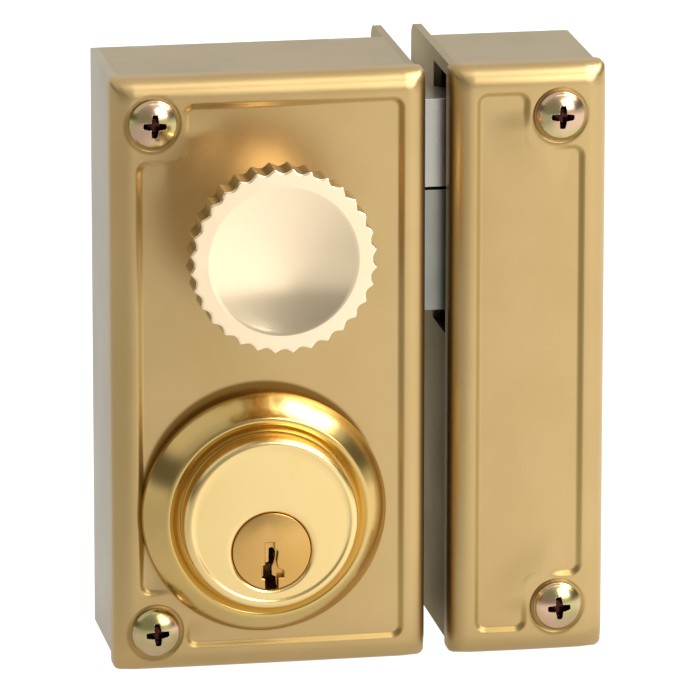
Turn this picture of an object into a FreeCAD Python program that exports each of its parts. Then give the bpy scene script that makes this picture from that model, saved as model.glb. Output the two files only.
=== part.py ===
import FreeCAD, Part
import math
import os

from FreeCAD import Vector

# Surface-mounted cylinder door lock with its box keeper, in millimetres.
# X runs across the door towards the keeper, Y into the door, Z up.
# The origin is the middle of the lock's back, which lies on the door's face.

# Overall sizes of the lock case and of the keeper beside it
LOCK_W = 60.0
LOCK_H = 115.0
LOCK_D = 35.0
KEEPER_W = 30.0
KEEPER_GAP = 4.5

# Pressed covers
COVER_T = 0.9
SKIRT = 6.2
ROLL_R = 3.9
CORNER_OVER = 0.4
COVER_FIT = 0.05
PANEL_MARGIN = 4.9
PANEL_DEPTH = 0.6
PANEL_CORNER_R = 2.0
PANEL_STEP_R = 0.35
LOCK_NOTCH_X = 8.8
KEEPER_NOTCH_X = 10.6
NOTCH_Z = 10.6

# Plated steel cases
CASE_T = 1.5
CASE_LAP = 2.0
CASE_BEND_R = 0.8
LIP = 13.0
LIP_CORNER_R = 3.0
TAB_W = 4.0
TAB_FROM_EDGE = 11.0
KEEPER_TAB_FROM_EDGE = 7.0

# Screws that hold the covers, and the posts that they enter
LOCK_SCREW_FROM_EDGE = 7.8
LOCK_SCREW_FROM_END = 8.2
KEEPER_SCREW_FROM_EDGE = 9.3
KEEPER_SCREW_FROM_END = 9.5
POST_R = 4.0
SCREW_R = 2.0
SCREW_LENGTH = 12.0
HEAD_R = 4.6
HEAD_H = 2.7
CROSS_LENGTH = 4.4
CROSS_W = 1.0
CROSS_DEPTH = 1.7
HEAD_RIM_H = 0.9
HEAD_SHOULDER_R = 3.3
HEAD_SHOULDER_H = 2.3
SEAT_R = 5.4
SEAT_DEPTH = 0.3

# Wood screw holes
WOOD_HOLE_R = 2.25
COUNTERSINK_R = 3.6
COUNTERSINK_DEPTH = 0.6
BACK_HOLES_FROM_EDGE = 10.0
BACK_HOLES_FROM_END = 19.5
EDGE_HOLES_FROM_END = 17.5
KEEPER_HOLES_FROM_END = 22.5
OUTER_HOLE_R = 7.0

# Key cylinder
CYL_X = -1.6
CYL_FROM_BOTTOM = 31.2
CYL_R = 16.6
CYL_PROUD = 10.0
CYL_EDGE_R = 1.3
FACE_RIM = 1.7
FACE_SINK = 0.25
PLUG_DROP = 5.4
PLUG_R = 7.5
PLUG_SINK = 0.2
RUN_FIT = 0.05
PLUG_END_SQUARE = 7.0
SQUARE_CORNER_R = 4.4
GROOVE_DEPTH = 0.6
KEYWAY_W = 2.4
KEYWAY_WARDS = ((1.2, -5.2), (2.3, -5.2), (2.3, -3.9), (1.2, -3.4), (0.9, -2.0),
                (1.2, -0.1), (0.5, 0.5), (0.5, 1.7), (-1.2, 1.7), (-1.2, -2.6),
                (-1.8, -3.0), (-1.8, -5.2))
KEYWAY_END = 3.0
PIN_COUNT = 5
PIN_PITCH = 3.5
PIN_LAST = 3.0
CHAMBER_R = 1.5
PIN_FIT = 0.06
DRIVER_LENGTH = 5.0
KEY_PIN_LENGTHS = (6.0, 7.4, 6.6, 8.0, 6.9)
CAP_T = 1.8
CAP_COVER = 0.9
PIN_SPRING_WIRE = 0.4
PIN_SPRING_TURNS = 4

# Rosette round the cylinder
ROSE_W = 6.8
ROSE_RIM_H = 2.0
ROSE_CREST_W = 2.55
ROSE_CREST_H = 6.6
ROSE_SHOULDER = 0.35
ROSE_GROOVE_W = 0.7
ROSE_GROOVE_H = 5.1
ROSE_FALL = 0.2

# Cylinder fixing
PILLAR_X = 10.5
PILLAR_DROP = 7.0
PILLAR_R = 3.0
PILLAR_SCREW_R = 1.9
PILLAR_SCREW_BITE = 8.0
PILLAR_HEAD_R = 3.2
PILLAR_HEAD_SINK = 0.1
PILLAR_SLOT_W = 0.8
PILLAR_SLOT_DEPTH = 0.8

# Knob and spindle
KNOB_X = -1.6
KNOB_FROM_TOP = 29.5
KNOB_PROUD = 24.0
KNOB_R = 17.5
KNOB_RIM_T = 7.0
KNOB_SERRATIONS = 32
SERRATION_DEPTH = 0.8
SERRATION_ROUND = 0.2
SERRATION_SHARE = 0.18
KNOB_BEVEL = 0.3
DISH_R = 14.1
DISH_DEPTH = 1.9
NECK_R = 8.0
NECK_TOP_R = 12.0
NECK_TAPER = 5.0
SPINDLE_R = 3.5
SPINDLE_IN_KNOB = 14.0
BUSH_FLANGE_R = 10.0
BUSH_FLANGE_T = 1.4
BUSH_EDGE_T = 0.55
BUSH_BEVEL = 1.2
BUSH_R = 5.5
BUSH_NUT_AF = 14.0
BUSH_NUT_T = 3.0
REAR_BUSH_R = 6.5
REAR_BUSH_T = 4.0
CLIP_T = 0.9
CLIP_RING = 2.2
CLIP_MOUTH = 3.2
GRUB_R = 1.6
GRUB_Y = 5.0
GRUB_SOCKET_R = 0.8
GRUB_SOCKET_DEPTH = 2.0
GRUB_SINK = 0.4

# Cranks of the knob and of the cylinder
CRANK_R = 11.0
CRANK_SWING = 40.0
CRANK_PIN_R = 2.0
CRANK_ARM_R = 3.5
CRANK_ARM_T = 2.5
CRANK_HUB_R = 6.0
CRANK_HUB_T = 5.5
ROLL_PIN_R = 1.0

# Bolts
BOLT_FRONT = 26.0
BOLT_T = 14.0
BOLT_HEAD_LENGTH = 21.2
LATCH_RISE = 5.0
LATCH_H = 17.0
BOLTS_APART = 0.6
DEAD_H = 23.4
LATCH_TIP_T = 2.5
BOLT_EDGE_R = 0.8
BOLT_SLIT = 7.0
BOLT_HOLE_FIT = 0.3
STRIKE_HOLE_BELOW = 5.5
STRIKE_HOLE_ABOVE = 4.0
STRIKE_HOLE_MARGIN = 1.5
TAIL_T = 3.0
TAIL_BACK = 12.9
TAIL_REACH = 1.4
PIN_SLOT_FIT = 0.35
MOVE_FIT = 0.3
DEAD_LINK_IN = 5.0
DEAD_LINK_W = 8.0
DEAD_FOOT_RISE = 5.9
DEAD_FOOT_H = 17.5
RIVET_R = 1.5
RIVET_INSET = 4.0

# Guide posts of the bolt tails
GUIDE_AHEAD = 5.6
GUIDE_LATCH_RISE = 18.0
GUIDE_DEAD_RISE = 18.9
GUIDE_R = 2.0
GUIDE_HEAD_R = 3.2
GUIDE_HEAD_T = 1.0

# Latch spring with its rod and bracket
SPRING_RISE = 10.5
SPRING_WIRE = 0.8
SPRING_R = 2.6
SPRING_TURNS = 8
ROD_R = 1.5
ROD_GAP = 1.4
BRACKET_T = 1.5
BRACKET_H = 9.0
BRACKET_D = 17.5

# Cutters run this far past a face, and points this near count as on it
OVER = 1.0
NEAR = 1e-4

# Each turn of a wound spring is this many arcs
ARCS_PER_TURN = 8

# Places worked out from the sizes
FRONT = -LOCK_D
LOCK_X0 = -LOCK_W / 2
LOCK_X1 = LOCK_W / 2
KEEPER_X0 = LOCK_X1 + KEEPER_GAP
KEEPER_X1 = KEEPER_X0 + KEEPER_W
TOP = LOCK_H / 2
CORNER_R = ROLL_R + CORNER_OVER
INSET = COVER_T + COVER_FIT
PANEL = FRONT + PANEL_DEPTH
PANEL_INSIDE = PANEL + COVER_T
CASE_FRONT = FRONT + SKIRT - CASE_LAP
CASE_TOP = TOP - INSET
BACK_IN = -CASE_T
TAIL_FRONT = -(TAIL_BACK + TAIL_T)
CRANK_BACK = TAIL_FRONT - MOVE_FIT
CYL_FRONT = FRONT - CYL_PROUD
CYL_BACK = CRANK_BACK - CRANK_ARM_T - MOVE_FIT
CYL_Z = CYL_FROM_BOTTOM - TOP
PLUG_Z = CYL_Z - PLUG_DROP
PIN_R = CHAMBER_R - PIN_FIT
ROSE_R = CYL_R + ROSE_W
PLUG_CLIP_R = PLUG_END_SQUARE / 2 - GROOVE_DEPTH
KNOB_FRONT = FRONT - KNOB_PROUD
KNOB_BACK = PANEL - BUSH_FLANGE_T - MOVE_FIT
KNOB_Z = TOP - KNOB_FROM_TOP
SWING = math.radians(CRANK_SWING)
CRANK_DX = CRANK_R * math.sin(SWING)
CRANK_DZ = CRANK_R * math.cos(SWING)
TRAVEL = 2 * CRANK_DX
FOREND_FACE = LOCK_X1 - INSET
BOLT_NOSE = FOREND_FACE + TRAVEL
BOLT_HEAD_X = BOLT_NOSE - BOLT_HEAD_LENGTH
LATCH_Z0 = KNOB_Z + LATCH_RISE
LATCH_Z1 = LATCH_Z0 + LATCH_H
DEAD_Z1 = LATCH_Z0 - BOLTS_APART
DEAD_Z0 = DEAD_Z1 - DEAD_H
TAIL_X = KNOB_X - TAIL_REACH
DEAD_LINK_X = BOLT_HEAD_X - DEAD_LINK_IN
DEAD_FOOT_Z0 = PLUG_Z + DEAD_FOOT_RISE
DEAD_FOOT_Z1 = DEAD_FOOT_Z0 + DEAD_FOOT_H
GUIDE_X = KNOB_X + GUIDE_AHEAD
GUIDE_LATCH_Z = KNOB_Z + GUIDE_LATCH_RISE
GUIDE_DEAD_Z = PLUG_Z + GUIDE_DEAD_RISE
SPRING_Z = KNOB_Z + SPRING_RISE
SPRING_SEAT_X = LOCK_X0 + INSET + CASE_T + BRACKET_T


def block(x0, x1, y0, y1, z0, z1):
    """Box between two corners."""
    return Part.makeBox(x1 - x0, y1 - y0, z1 - z0, Vector(x0, y0, z0))


def rod_y(x, z, radius, y0, y1):
    """Cylinder along Y."""
    return Part.makeCylinder(radius, y1 - y0, Vector(x, y0, z), Vector(0, 1, 0))


def rod_x(y, z, radius, x0, x1):
    """Cylinder along X."""
    return Part.makeCylinder(radius, x1 - x0, Vector(x0, y, z), Vector(1, 0, 0))


def rod_z(x, y, radius, z0, z1):
    """Cylinder along Z."""
    return Part.makeCylinder(radius, z1 - z0, Vector(x, y, z0), Vector(0, 0, 1))


def cone_y(x, z, r0, r1, y0, y1):
    """Cone along Y, from radius r0 at y0 to radius r1 at y1."""
    return Part.makeCone(r0, r1, y1 - y0, Vector(x, y0, z), Vector(0, 1, 0))


def cone_x(y, z, r0, r1, x0, x1):
    """Cone along X, from radius r0 at x0 to radius r1 at x1."""
    return Part.makeCone(r0, r1, x1 - x0, Vector(x0, y, z), Vector(1, 0, 0))


def join(shapes):
    """One solid from overlapping or touching shapes."""
    whole = shapes[0]
    if len(shapes) > 1:
        whole = whole.fuse(shapes[1:])
    return whole.removeSplitter()


def edges_where(shape, test):
    """Edges whose every vertex passes the test."""
    return [e for e in shape.Edges if all(test(v.Point) for v in e.Vertexes)]


def prism_y(points, y0, y1):
    """Prism along Y over an outline of (x, z) points."""
    loop = [Vector(x, y0, z) for x, z in points]
    wire = Part.makePolygon(loop + loop[:1])
    return Part.Face(wire).extrude(Vector(0, y1 - y0, 0))


def is_along_y(edge):
    """True for a straight edge that runs along Y."""
    if len(edge.Vertexes) != 2:
        return False
    run = edge.Vertexes[1].Point - edge.Vertexes[0].Point
    return abs(run.x) < NEAR and abs(run.z) < NEAR


def turned_ring(x, z, edges):
    """Solid of revolution about the Y axis through (x, z) from profile edges in (radius, y)."""
    face = Part.Face(Part.Wire(edges))
    face.translate(Vector(x, 0, z))
    solid = face.revolve(Vector(x, 0, z), Vector(0, 1, 0), 360)
    return solid


def profile_line(a, b):
    """Straight profile edge between two (radius, y) points."""
    return Part.LineSegment(Vector(a[0], a[1], 0), Vector(b[0], b[1], 0)).toShape()


def profile_arc(a, middle, b):
    """Profile arc through three (radius, y) points."""
    points = [Vector(p[0], p[1], 0) for p in (a, middle, b)]
    return Part.Arc(*points).toShape()


def rounded(a, corner, b):
    """Quarter-round profile edge that takes off the square corner between a and b."""
    share = 1 - math.sqrt(0.5)
    middle = [c + (p + q - 2 * c) * share for p, c, q in zip(a, corner, b)]
    return profile_arc(a, middle, b)


def bulged(a, b, rise):
    """Profile arc from a to b whose middle stands out to the front by this rise."""
    run = (b[0] - a[0], b[1] - a[1])
    side = math.copysign(rise / math.hypot(*run), run[0])
    middle = ((a[0] + b[0]) / 2 + side * run[1], (a[1] + b[1]) / 2 - side * run[0])
    return profile_arc(a, middle, b)


def pan(x0, x1, inset):
    """Closed block with rounded corners and a rolled front edge, shrunk by an inset."""
    low = Vector(x0 + inset, FRONT + inset, -TOP + inset)
    body = block(low.x, x1 - inset, low.y, FRONT + SKIRT, low.z, TOP - inset)
    corners = [e for e in body.Edges if is_along_y(e)]
    body = body.makeFillet(CORNER_R - inset, corners)
    rim = edges_where(body, lambda p: abs(p.y - low.y) < NEAR)
    return body.makeFillet(ROLL_R - inset, rim)


def panel_outline(x0, x1, notch, notch_x, grow):
    """Outline of the sunk panel, with square notches at the corners that hold screws."""
    left = x0 + PANEL_MARGIN - grow
    right = x1 - PANEL_MARGIN + grow
    high = TOP - PANEL_MARGIN - COVER_FIT + grow
    step = NOTCH_Z
    if notch == "left":
        inner = left + notch_x
        return [(inner, -high), (right, -high), (right, high), (inner, high),
                (inner, high - step), (left, high - step), (left, step - high),
                (inner, step - high)]
    inner = right - notch_x
    return [(left, -high), (inner, -high), (inner, step - high), (right, step - high),
            (right, high - step), (inner, high - step), (inner, high), (left, high)]


def panel_block(x0, x1, notch, notch_x, grow, y0, y1):
    """Prism of the sunk panel with its corners rounded."""
    body = prism_y(panel_outline(x0, x1, notch, notch_x, grow), y0, y1)
    corners = [e for e in body.Edges if is_along_y(e)]
    return body.makeFillet(PANEL_CORNER_R, corners)


def pressed_cover(x0, x1, notch, notch_x, screws, rose):
    """Pressed cover: a rolled pan with a sunk panel and a seat for each screw."""
    below = FRONT - OVER
    outer_cut = panel_block(x0, x1, notch, notch_x, 0, below, PANEL)
    inner_keep = panel_block(x0, x1, notch, notch_x, COVER_T, FRONT, PANEL_INSIDE)
    if rose:
        outer_cut = join([outer_cut, rod_y(CYL_X, CYL_Z, ROSE_R + PANEL_STEP_R, below, PANEL)])
        seat = rod_y(CYL_X, CYL_Z, ROSE_R + PANEL_STEP_R + COVER_T, FRONT, PANEL_INSIDE)
        inner_keep = join([inner_keep, seat])
    floor = edges_where(outer_cut, lambda p: abs(p.y - PANEL) < NEAR)
    outer_cut = outer_cut.makeFillet(PANEL_STEP_R, floor)
    cavity = pan(x0, x1, COVER_T).cut(inner_keep)
    cover = pan(x0, x1, 0).cut(cavity).cut(outer_cut)
    for x, z in screws:
        cover = cover.cut(rod_y(x, z, SEAT_R, below, FRONT + SEAT_DEPTH))
        cover = cover.cut(rod_y(x, z, SCREW_R + COVER_FIT, below, CASE_FRONT))
    return cover


def lap_corners(x0, x1):
    """Cutter for the corners of a case where the cover's rounded skirt laps over it."""
    y0 = CASE_FRONT - OVER
    y1 = FRONT + SKIRT + MOVE_FIT
    keep = block(x0, x1, y0, y1, -CASE_TOP, CASE_TOP)
    keep = keep.makeFillet(CORNER_R - INSET, [e for e in keep.Edges if is_along_y(e)])
    return block(x0, x1, y0, y1, -CASE_TOP, CASE_TOP).cut(keep)


def end_wall(x0, x1, side, tabs):
    """Top or bottom wall of a case, notched at its back edge for the back plate's tabs."""
    low, high = sorted((side * (CASE_TOP - CASE_T), side * CASE_TOP))
    wall = block(x0, x1, CASE_FRONT, 0, low, high)
    for x in tabs:
        notch = block(x - TAB_W / 2, x + TAB_W / 2, BACK_IN, OVER, low - OVER, high + OVER)
        wall = wall.cut(notch)
    return wall


def case_shell(x0, x1, wall, tabs):
    """Back plate with one side wall bent from it, and the tabs that hold the end walls."""
    wall_x = x0 if wall == "left" else x1 - CASE_T
    back = block(x0, x1, BACK_IN, 0, CASE_T - CASE_TOP, CASE_TOP - CASE_T)
    side = block(wall_x, wall_x + CASE_T, CASE_FRONT, 0, -CASE_TOP, CASE_TOP)
    pieces = [back, side]
    pieces += [block(x - TAB_W / 2, x + TAB_W / 2, BACK_IN, 0, -CASE_TOP, CASE_TOP) for x in tabs]
    shell = join(pieces)
    outer = x0 if wall == "left" else x1
    bend = edges_where(shell, lambda p: abs(p.x - outer) < NEAR and abs(p.y) < NEAR)
    return shell.makeFillet(CASE_BEND_R, bend)


def edge_plate(x_face, side, hole_z0, hole_z1, margin):
    """Plate on the edge side of a case: bolt opening, and a lip behind with screw holes."""
    x0, x1 = sorted((x_face, x_face - side * CASE_T))
    plate = block(x0, x1, CASE_FRONT, LIP, -CASE_TOP, CASE_TOP)
    corners = [e for e in plate.Edges
               if all(abs(v.Point.y - LIP) < NEAR for v in e.Vertexes)
               and abs(e.Vertexes[0].Point.z - e.Vertexes[-1].Point.z) < NEAR]
    plate = plate.makeFillet(LIP_CORNER_R, corners)
    opening = block(x0 - OVER, x1 + OVER, -BOLT_FRONT - margin, -BOLT_FRONT + BOLT_T + margin,
                    hole_z0, hole_z1)
    plate = plate.cut(opening)
    for z in (EDGE_HOLES_FROM_END - TOP, TOP - EDGE_HOLES_FROM_END):
        plate = plate.cut(rod_x(LIP / 2, z, WOOD_HOLE_R, x0 - OVER, x1 + OVER))
        if side > 0:
            sink = cone_x(LIP / 2, z, WOOD_HOLE_R, COUNTERSINK_R, x1 - COUNTERSINK_DEPTH, x1)
        else:
            sink = cone_x(LIP / 2, z, COUNTERSINK_R, WOOD_HOLE_R, x0, x0 + COUNTERSINK_DEPTH)
        plate = plate.cut(sink)
    return plate


def cover_post(x, z):
    """Post between the back plate and the cover, bored for the cover screw."""
    post = rod_y(x, z, POST_R, FRONT + COVER_T, BACK_IN)
    return post.cut(rod_y(x, z, SCREW_R, FRONT, FRONT + SEAT_DEPTH + SCREW_LENGTH))


def cover_screw(x, z):
    """Pan-head cross-recess screw."""
    seat = FRONT + SEAT_DEPTH
    rim = (HEAD_R, seat - HEAD_RIM_H)
    dome = turned_ring(x, z, [
        profile_line((0, seat), (HEAD_R, seat)),
        profile_line((HEAD_R, seat), rim),
        profile_arc(rim, (HEAD_SHOULDER_R, seat - HEAD_SHOULDER_H), (0, seat - HEAD_H)),
        profile_line((0, seat - HEAD_H), (0, seat))])
    for length, width in ((CROSS_LENGTH, CROSS_W), (CROSS_W, CROSS_LENGTH)):
        dome = dome.cut(block(x - length / 2, x + length / 2, seat - HEAD_H - OVER,
                              seat - HEAD_H + CROSS_DEPTH, z - width / 2, z + width / 2))
    return join([dome, rod_y(x, z, SCREW_R, seat, seat + SCREW_LENGTH)])


def coil(start, along, side, radius, wire, length, turns):
    """Round wire wound as a helix of short arcs, a few to each turn."""
    other = along.cross(side)
    steps = turns * ARCS_PER_TURN

    def point(i, fraction=0.0):
        angle = 2 * math.pi * (i + fraction) / ARCS_PER_TURN
        lift = along * (length * (i + fraction) / steps)
        return start + side * (radius * math.cos(angle)) + other * (radius * math.sin(angle)) + lift

    edges = [Part.Arc(point(i), point(i, 0.5), point(i + 1)).toShape() for i in range(steps)]
    path = Part.Wire(edges)
    begin = other + along * (length / (2 * math.pi * radius * turns))
    section = Part.Wire(Part.Circle(point(0), begin, wire / 2).toShape())
    return path.makePipeShell([section], True, True)


def latch_spring():
    """Compression spring between the bracket and the latch tail, at its length with the latch out."""
    x0 = SPRING_SEAT_X + SPRING_WIRE / 2
    length = TAIL_X - SPRING_WIRE / 2 - x0 - MOVE_FIT
    start = Vector(x0 + MOVE_FIT / 2, -(TAIL_BACK + TAIL_T / 2), SPRING_Z)
    return coil(start, Vector(1, 0, 0), Vector(0, 0, 1), SPRING_R, SPRING_WIRE, length, SPRING_TURNS)


def crank(x, z, bore):
    """Crank at its resting angle: hub, arm and pin, turned towards the keeper."""
    arm_front = CRANK_BACK - CRANK_ARM_T
    end_x = x + CRANK_DX
    end_z = z + CRANK_DZ
    across = Vector(CRANK_DZ, 0, -CRANK_DX) * (CRANK_ARM_R / CRANK_R)
    corners = [(x + across.x, z + across.z), (end_x + across.x, end_z + across.z),
               (end_x - across.x, end_z - across.z), (x - across.x, z - across.z)]
    arm = prism_y(corners, arm_front, CRANK_BACK)
    tip = rod_y(end_x, end_z, CRANK_ARM_R, arm_front, CRANK_BACK)
    hub = rod_y(x, z, CRANK_HUB_R, arm_front, CRANK_BACK)
    pin = rod_y(end_x, end_z, CRANK_PIN_R, CRANK_BACK, -TAIL_BACK + MOVE_FIT)
    return join([hub, arm, tip, pin]).cut(bore)


def clip_ring(x, z, radius, y0):
    """Retaining ring with an open mouth below."""
    outer = radius + CLIP_RING
    y1 = y0 + CLIP_T
    ring = rod_y(x, z, outer, y0, y1).cut(rod_y(x, z, radius, y0 - OVER, y1 + OVER))
    half = CLIP_MOUTH / 2
    return ring.cut(block(x - half, x + half, y0 - OVER, y1 + OVER, z - outer - OVER, z))


def serrated_disc(x, z, y0, y1):
    """Disc whose edge has shallow round flutes."""
    edges = []
    count = KNOB_SERRATIONS
    valley = KNOB_R - SERRATION_DEPTH

    def rim(turn, radius):
        angle = 2 * math.pi * turn / count
        return Vector(x + radius * math.cos(angle), y0, z + radius * math.sin(angle))

    crest = SERRATION_SHARE
    flank = KNOB_R - SERRATION_ROUND
    for i in range(count):
        start, end, onward = rim(i - crest, flank), rim(i + crest, flank), rim(i + 1 - crest, flank)
        edges.append(Part.Arc(start, rim(i, KNOB_R), end).toShape())
        edges.append(Part.Arc(end, rim(i + 0.5, valley), onward).toShape())
    return Part.Face(Part.Wire(edges)).extrude(Vector(0, y1 - y0, 0))


def knob():
    """Turned knob: a serrated rim with a dished face, on a tapered neck."""
    rim_back = KNOB_FRONT + KNOB_RIM_T
    disc = serrated_disc(KNOB_X, KNOB_Z, KNOB_FRONT, rim_back)
    bevel = KNOB_BEVEL
    edge = turned_ring(KNOB_X, KNOB_Z, [
        profile_line((0, KNOB_FRONT), (KNOB_R - bevel, KNOB_FRONT)),
        rounded((KNOB_R - bevel, KNOB_FRONT), (KNOB_R, KNOB_FRONT), (KNOB_R, KNOB_FRONT + bevel)),
        profile_line((KNOB_R, KNOB_FRONT + bevel), (KNOB_R, rim_back - bevel)),
        profile_line((KNOB_R, rim_back - bevel), (KNOB_R - bevel, rim_back)),
        profile_line((KNOB_R - bevel, rim_back), (0, rim_back)),
        profile_line((0, rim_back), (0, KNOB_FRONT))])
    disc = disc.common(edge)
    ball_r = (DISH_R ** 2 + DISH_DEPTH ** 2) / (2 * DISH_DEPTH)
    ball = Part.makeSphere(ball_r, Vector(KNOB_X, KNOB_FRONT + DISH_DEPTH - ball_r, KNOB_Z))
    taper = cone_y(KNOB_X, KNOB_Z, NECK_TOP_R, NECK_R, rim_back, rim_back + NECK_TAPER)
    neck = rod_y(KNOB_X, KNOB_Z, NECK_R, rim_back + NECK_TAPER, KNOB_BACK)
    body = join([disc.cut(ball), taper, neck])
    body = body.cut(rod_y(KNOB_X, KNOB_Z, SPINDLE_R, KNOB_BACK - SPINDLE_IN_KNOB, 0))
    return body.cut(rod_z(KNOB_X, KNOB_BACK - GRUB_Y, GRUB_R, KNOB_Z - NECK_R - OVER, KNOB_Z))


def grub_screw():
    """Socket grub screw that clamps the knob on its spindle."""
    low = KNOB_Z - NECK_R + GRUB_SINK
    screw = rod_z(KNOB_X, KNOB_BACK - GRUB_Y, GRUB_R, low, KNOB_Z - SPINDLE_R)
    return screw.cut(rod_z(KNOB_X, KNOB_BACK - GRUB_Y, GRUB_SOCKET_R, low - OVER,
                           low + GRUB_SOCKET_DEPTH))


def knob_bush():
    """Flanged bush on the cover, in which the spindle turns."""
    face = PANEL - BUSH_FLANGE_T
    edge = (BUSH_FLANGE_R, PANEL - BUSH_EDGE_T)
    flat = (BUSH_FLANGE_R - BUSH_BEVEL, face)
    flange = turned_ring(KNOB_X, KNOB_Z, [
        profile_line((0, PANEL), (BUSH_FLANGE_R, PANEL)),
        profile_line((BUSH_FLANGE_R, PANEL), edge),
        profile_line(edge, flat),
        profile_line(flat, (0, face)),
        profile_line((0, face), (0, PANEL))])
    barrel = rod_y(KNOB_X, KNOB_Z, BUSH_R, PANEL, PANEL_INSIDE + BUSH_NUT_T)
    return join([flange, barrel]).cut(rod_y(KNOB_X, KNOB_Z, SPINDLE_R + RUN_FIT, KNOB_FRONT, 0))


def bush_nut():
    """Hexagon nut that holds the bush from inside the cover."""
    radius = BUSH_NUT_AF / math.sqrt(3)
    corners = [(KNOB_X + radius * math.cos(math.radians(60 * i)),
                KNOB_Z + radius * math.sin(math.radians(60 * i))) for i in range(6)]
    nut = prism_y(corners, PANEL_INSIDE, PANEL_INSIDE + BUSH_NUT_T)
    return nut.cut(rod_y(KNOB_X, KNOB_Z, BUSH_R, PANEL_INSIDE - OVER, 0))


def rear_bush():
    """Bush on the back plate that carries the spindle's inner end."""
    bush = rod_y(KNOB_X, KNOB_Z, REAR_BUSH_R, BACK_IN - REAR_BUSH_T, BACK_IN)
    return bush.cut(rod_y(KNOB_X, KNOB_Z, SPINDLE_R + RUN_FIT, BACK_IN - REAR_BUSH_T - OVER, 0))


def rosette():
    """Turned ring round the cylinder: a low rim, a slope up to the crest and a short fall inside."""
    inner = CYL_R + COVER_FIT
    rim = (ROSE_R, PANEL - ROSE_RIM_H)
    crest = (CYL_R + ROSE_CREST_W, PANEL - ROSE_CREST_H)
    groove = (CYL_R + ROSE_GROOVE_W, PANEL - ROSE_GROOVE_H)
    return turned_ring(CYL_X, CYL_Z, [
        profile_line((inner, PANEL), (ROSE_R, PANEL)),
        profile_line((ROSE_R, PANEL), rim),
        bulged(rim, crest, ROSE_SHOULDER),
        bulged(crest, groove, ROSE_FALL),
        profile_line(groove, (inner, groove[1])),
        profile_line((inner, groove[1]), (inner, PANEL))])


def pin_places():
    """Y of each pin chamber, from the back of the cylinder forwards."""
    return [CYL_BACK - PIN_LAST - i * PIN_PITCH for i in range(PIN_COUNT)]


def cylinder_housing():
    """Round cylinder body with the plug's bore, pin chambers and fixing holes."""
    rim_r = CYL_R - FACE_RIM
    face = CYL_FRONT + FACE_SINK
    body = turned_ring(CYL_X, CYL_Z, [
        profile_line((0, CYL_BACK), (CYL_R, CYL_BACK)),
        profile_line((CYL_R, CYL_BACK), (CYL_R, CYL_FRONT + CYL_EDGE_R)),
        rounded((CYL_R, CYL_FRONT + CYL_EDGE_R), (CYL_R, CYL_FRONT),
                (CYL_R - CYL_EDGE_R, CYL_FRONT)),
        profile_line((CYL_R - CYL_EDGE_R, CYL_FRONT), (rim_r, face)),
        profile_line((rim_r, face), (0, face)),
        profile_line((0, face), (0, CYL_BACK))])
    body = body.cut(rod_y(CYL_X, PLUG_Z, PLUG_R + RUN_FIT, CYL_FRONT - OVER, CYL_BACK + OVER))
    for y in pin_places():
        body = body.cut(rod_z(CYL_X, y, CHAMBER_R, PLUG_Z, CYL_Z + CYL_R + OVER))
    for x, z in pillar_places():
        body = body.cut(rod_y(x, z, PILLAR_SCREW_R, CYL_BACK - PILLAR_SCREW_BITE, CYL_BACK + OVER))
    return body


def keyway():
    """Crooked key slot, open at the underside of the plug and closed short of its back."""
    low = -PLUG_R - OVER
    outline = ((-KEYWAY_W / 2, low), (KEYWAY_W / 2, low)) + KEYWAY_WARDS
    return prism_y([(CYL_X + x, PLUG_Z + z) for x, z in outline], CYL_FRONT - OVER,
                   CYL_BACK - KEYWAY_END)


def plug_square(end_y):
    """Squared end of the plug, its corners turned off, from the cylinder's back to end_y."""
    half = PLUG_END_SQUARE / 2
    square = block(CYL_X - half, CYL_X + half, CYL_BACK, end_y, PLUG_Z - half, PLUG_Z + half)
    return square.common(rod_y(CYL_X, PLUG_Z, SQUARE_CORNER_R, CYL_BACK, end_y))


def clip_groove(x, z, radius, y0):
    """Cutter for the groove that a retaining ring of this inner radius sits in."""
    groove = rod_y(x, z, radius + CLIP_RING, y0, y0 + CLIP_T)
    return groove.cut(rod_y(x, z, radius, y0, y0 + CLIP_T))


def cylinder_plug():
    """Turning plug with its key slot, pin holes and squared end for the crank."""
    body = rod_y(CYL_X, PLUG_Z, PLUG_R, CYL_FRONT + FACE_SINK + PLUG_SINK, CYL_BACK)
    body = join([body, plug_square(CRANK_BACK + CLIP_T + MOVE_FIT)])
    body = body.cut(clip_groove(CYL_X, PLUG_Z, PLUG_CLIP_R, CRANK_BACK)).cut(keyway())
    for y in pin_places():
        body = body.cut(rod_z(CYL_X, y, CHAMBER_R, PLUG_Z - OVER, PLUG_Z + PLUG_R + OVER))
    return body


def key_pins():
    """Pins in the plug, each as long as its cut on the key."""
    high = PLUG_Z + math.sqrt(PLUG_R ** 2 - PIN_R ** 2)
    return [rod_z(CYL_X, y, PIN_R, high - length, high)
            for y, length in zip(pin_places(), KEY_PIN_LENGTHS)]


def driver_pins():
    """Pins in the housing, resting at the plug's surface."""
    low = PLUG_Z + PLUG_R + RUN_FIT
    return [rod_z(CYL_X, y, PIN_R, low, low + DRIVER_LENGTH) for y in pin_places()]


def chamber_caps():
    """Round caps that close the pin chambers."""
    high = CYL_Z + CYL_R - CAP_COVER
    return [rod_z(CYL_X, y, CHAMBER_R, high - CAP_T, high) for y in pin_places()]


def pin_springs():
    """Small coil springs between the caps and the driver pins."""
    wire = PIN_SPRING_WIRE
    low = PLUG_Z + PLUG_R + RUN_FIT + DRIVER_LENGTH + wire / 2 + RUN_FIT
    high = CYL_Z + CYL_R - CAP_COVER - CAP_T - wire / 2 - RUN_FIT
    radius = PIN_R - wire / 2
    return [coil(Vector(CYL_X, y, low), Vector(0, 0, 1), Vector(1, 0, 0), radius, wire,
                 high - low, PIN_SPRING_TURNS) for y in pin_places()]


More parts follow.
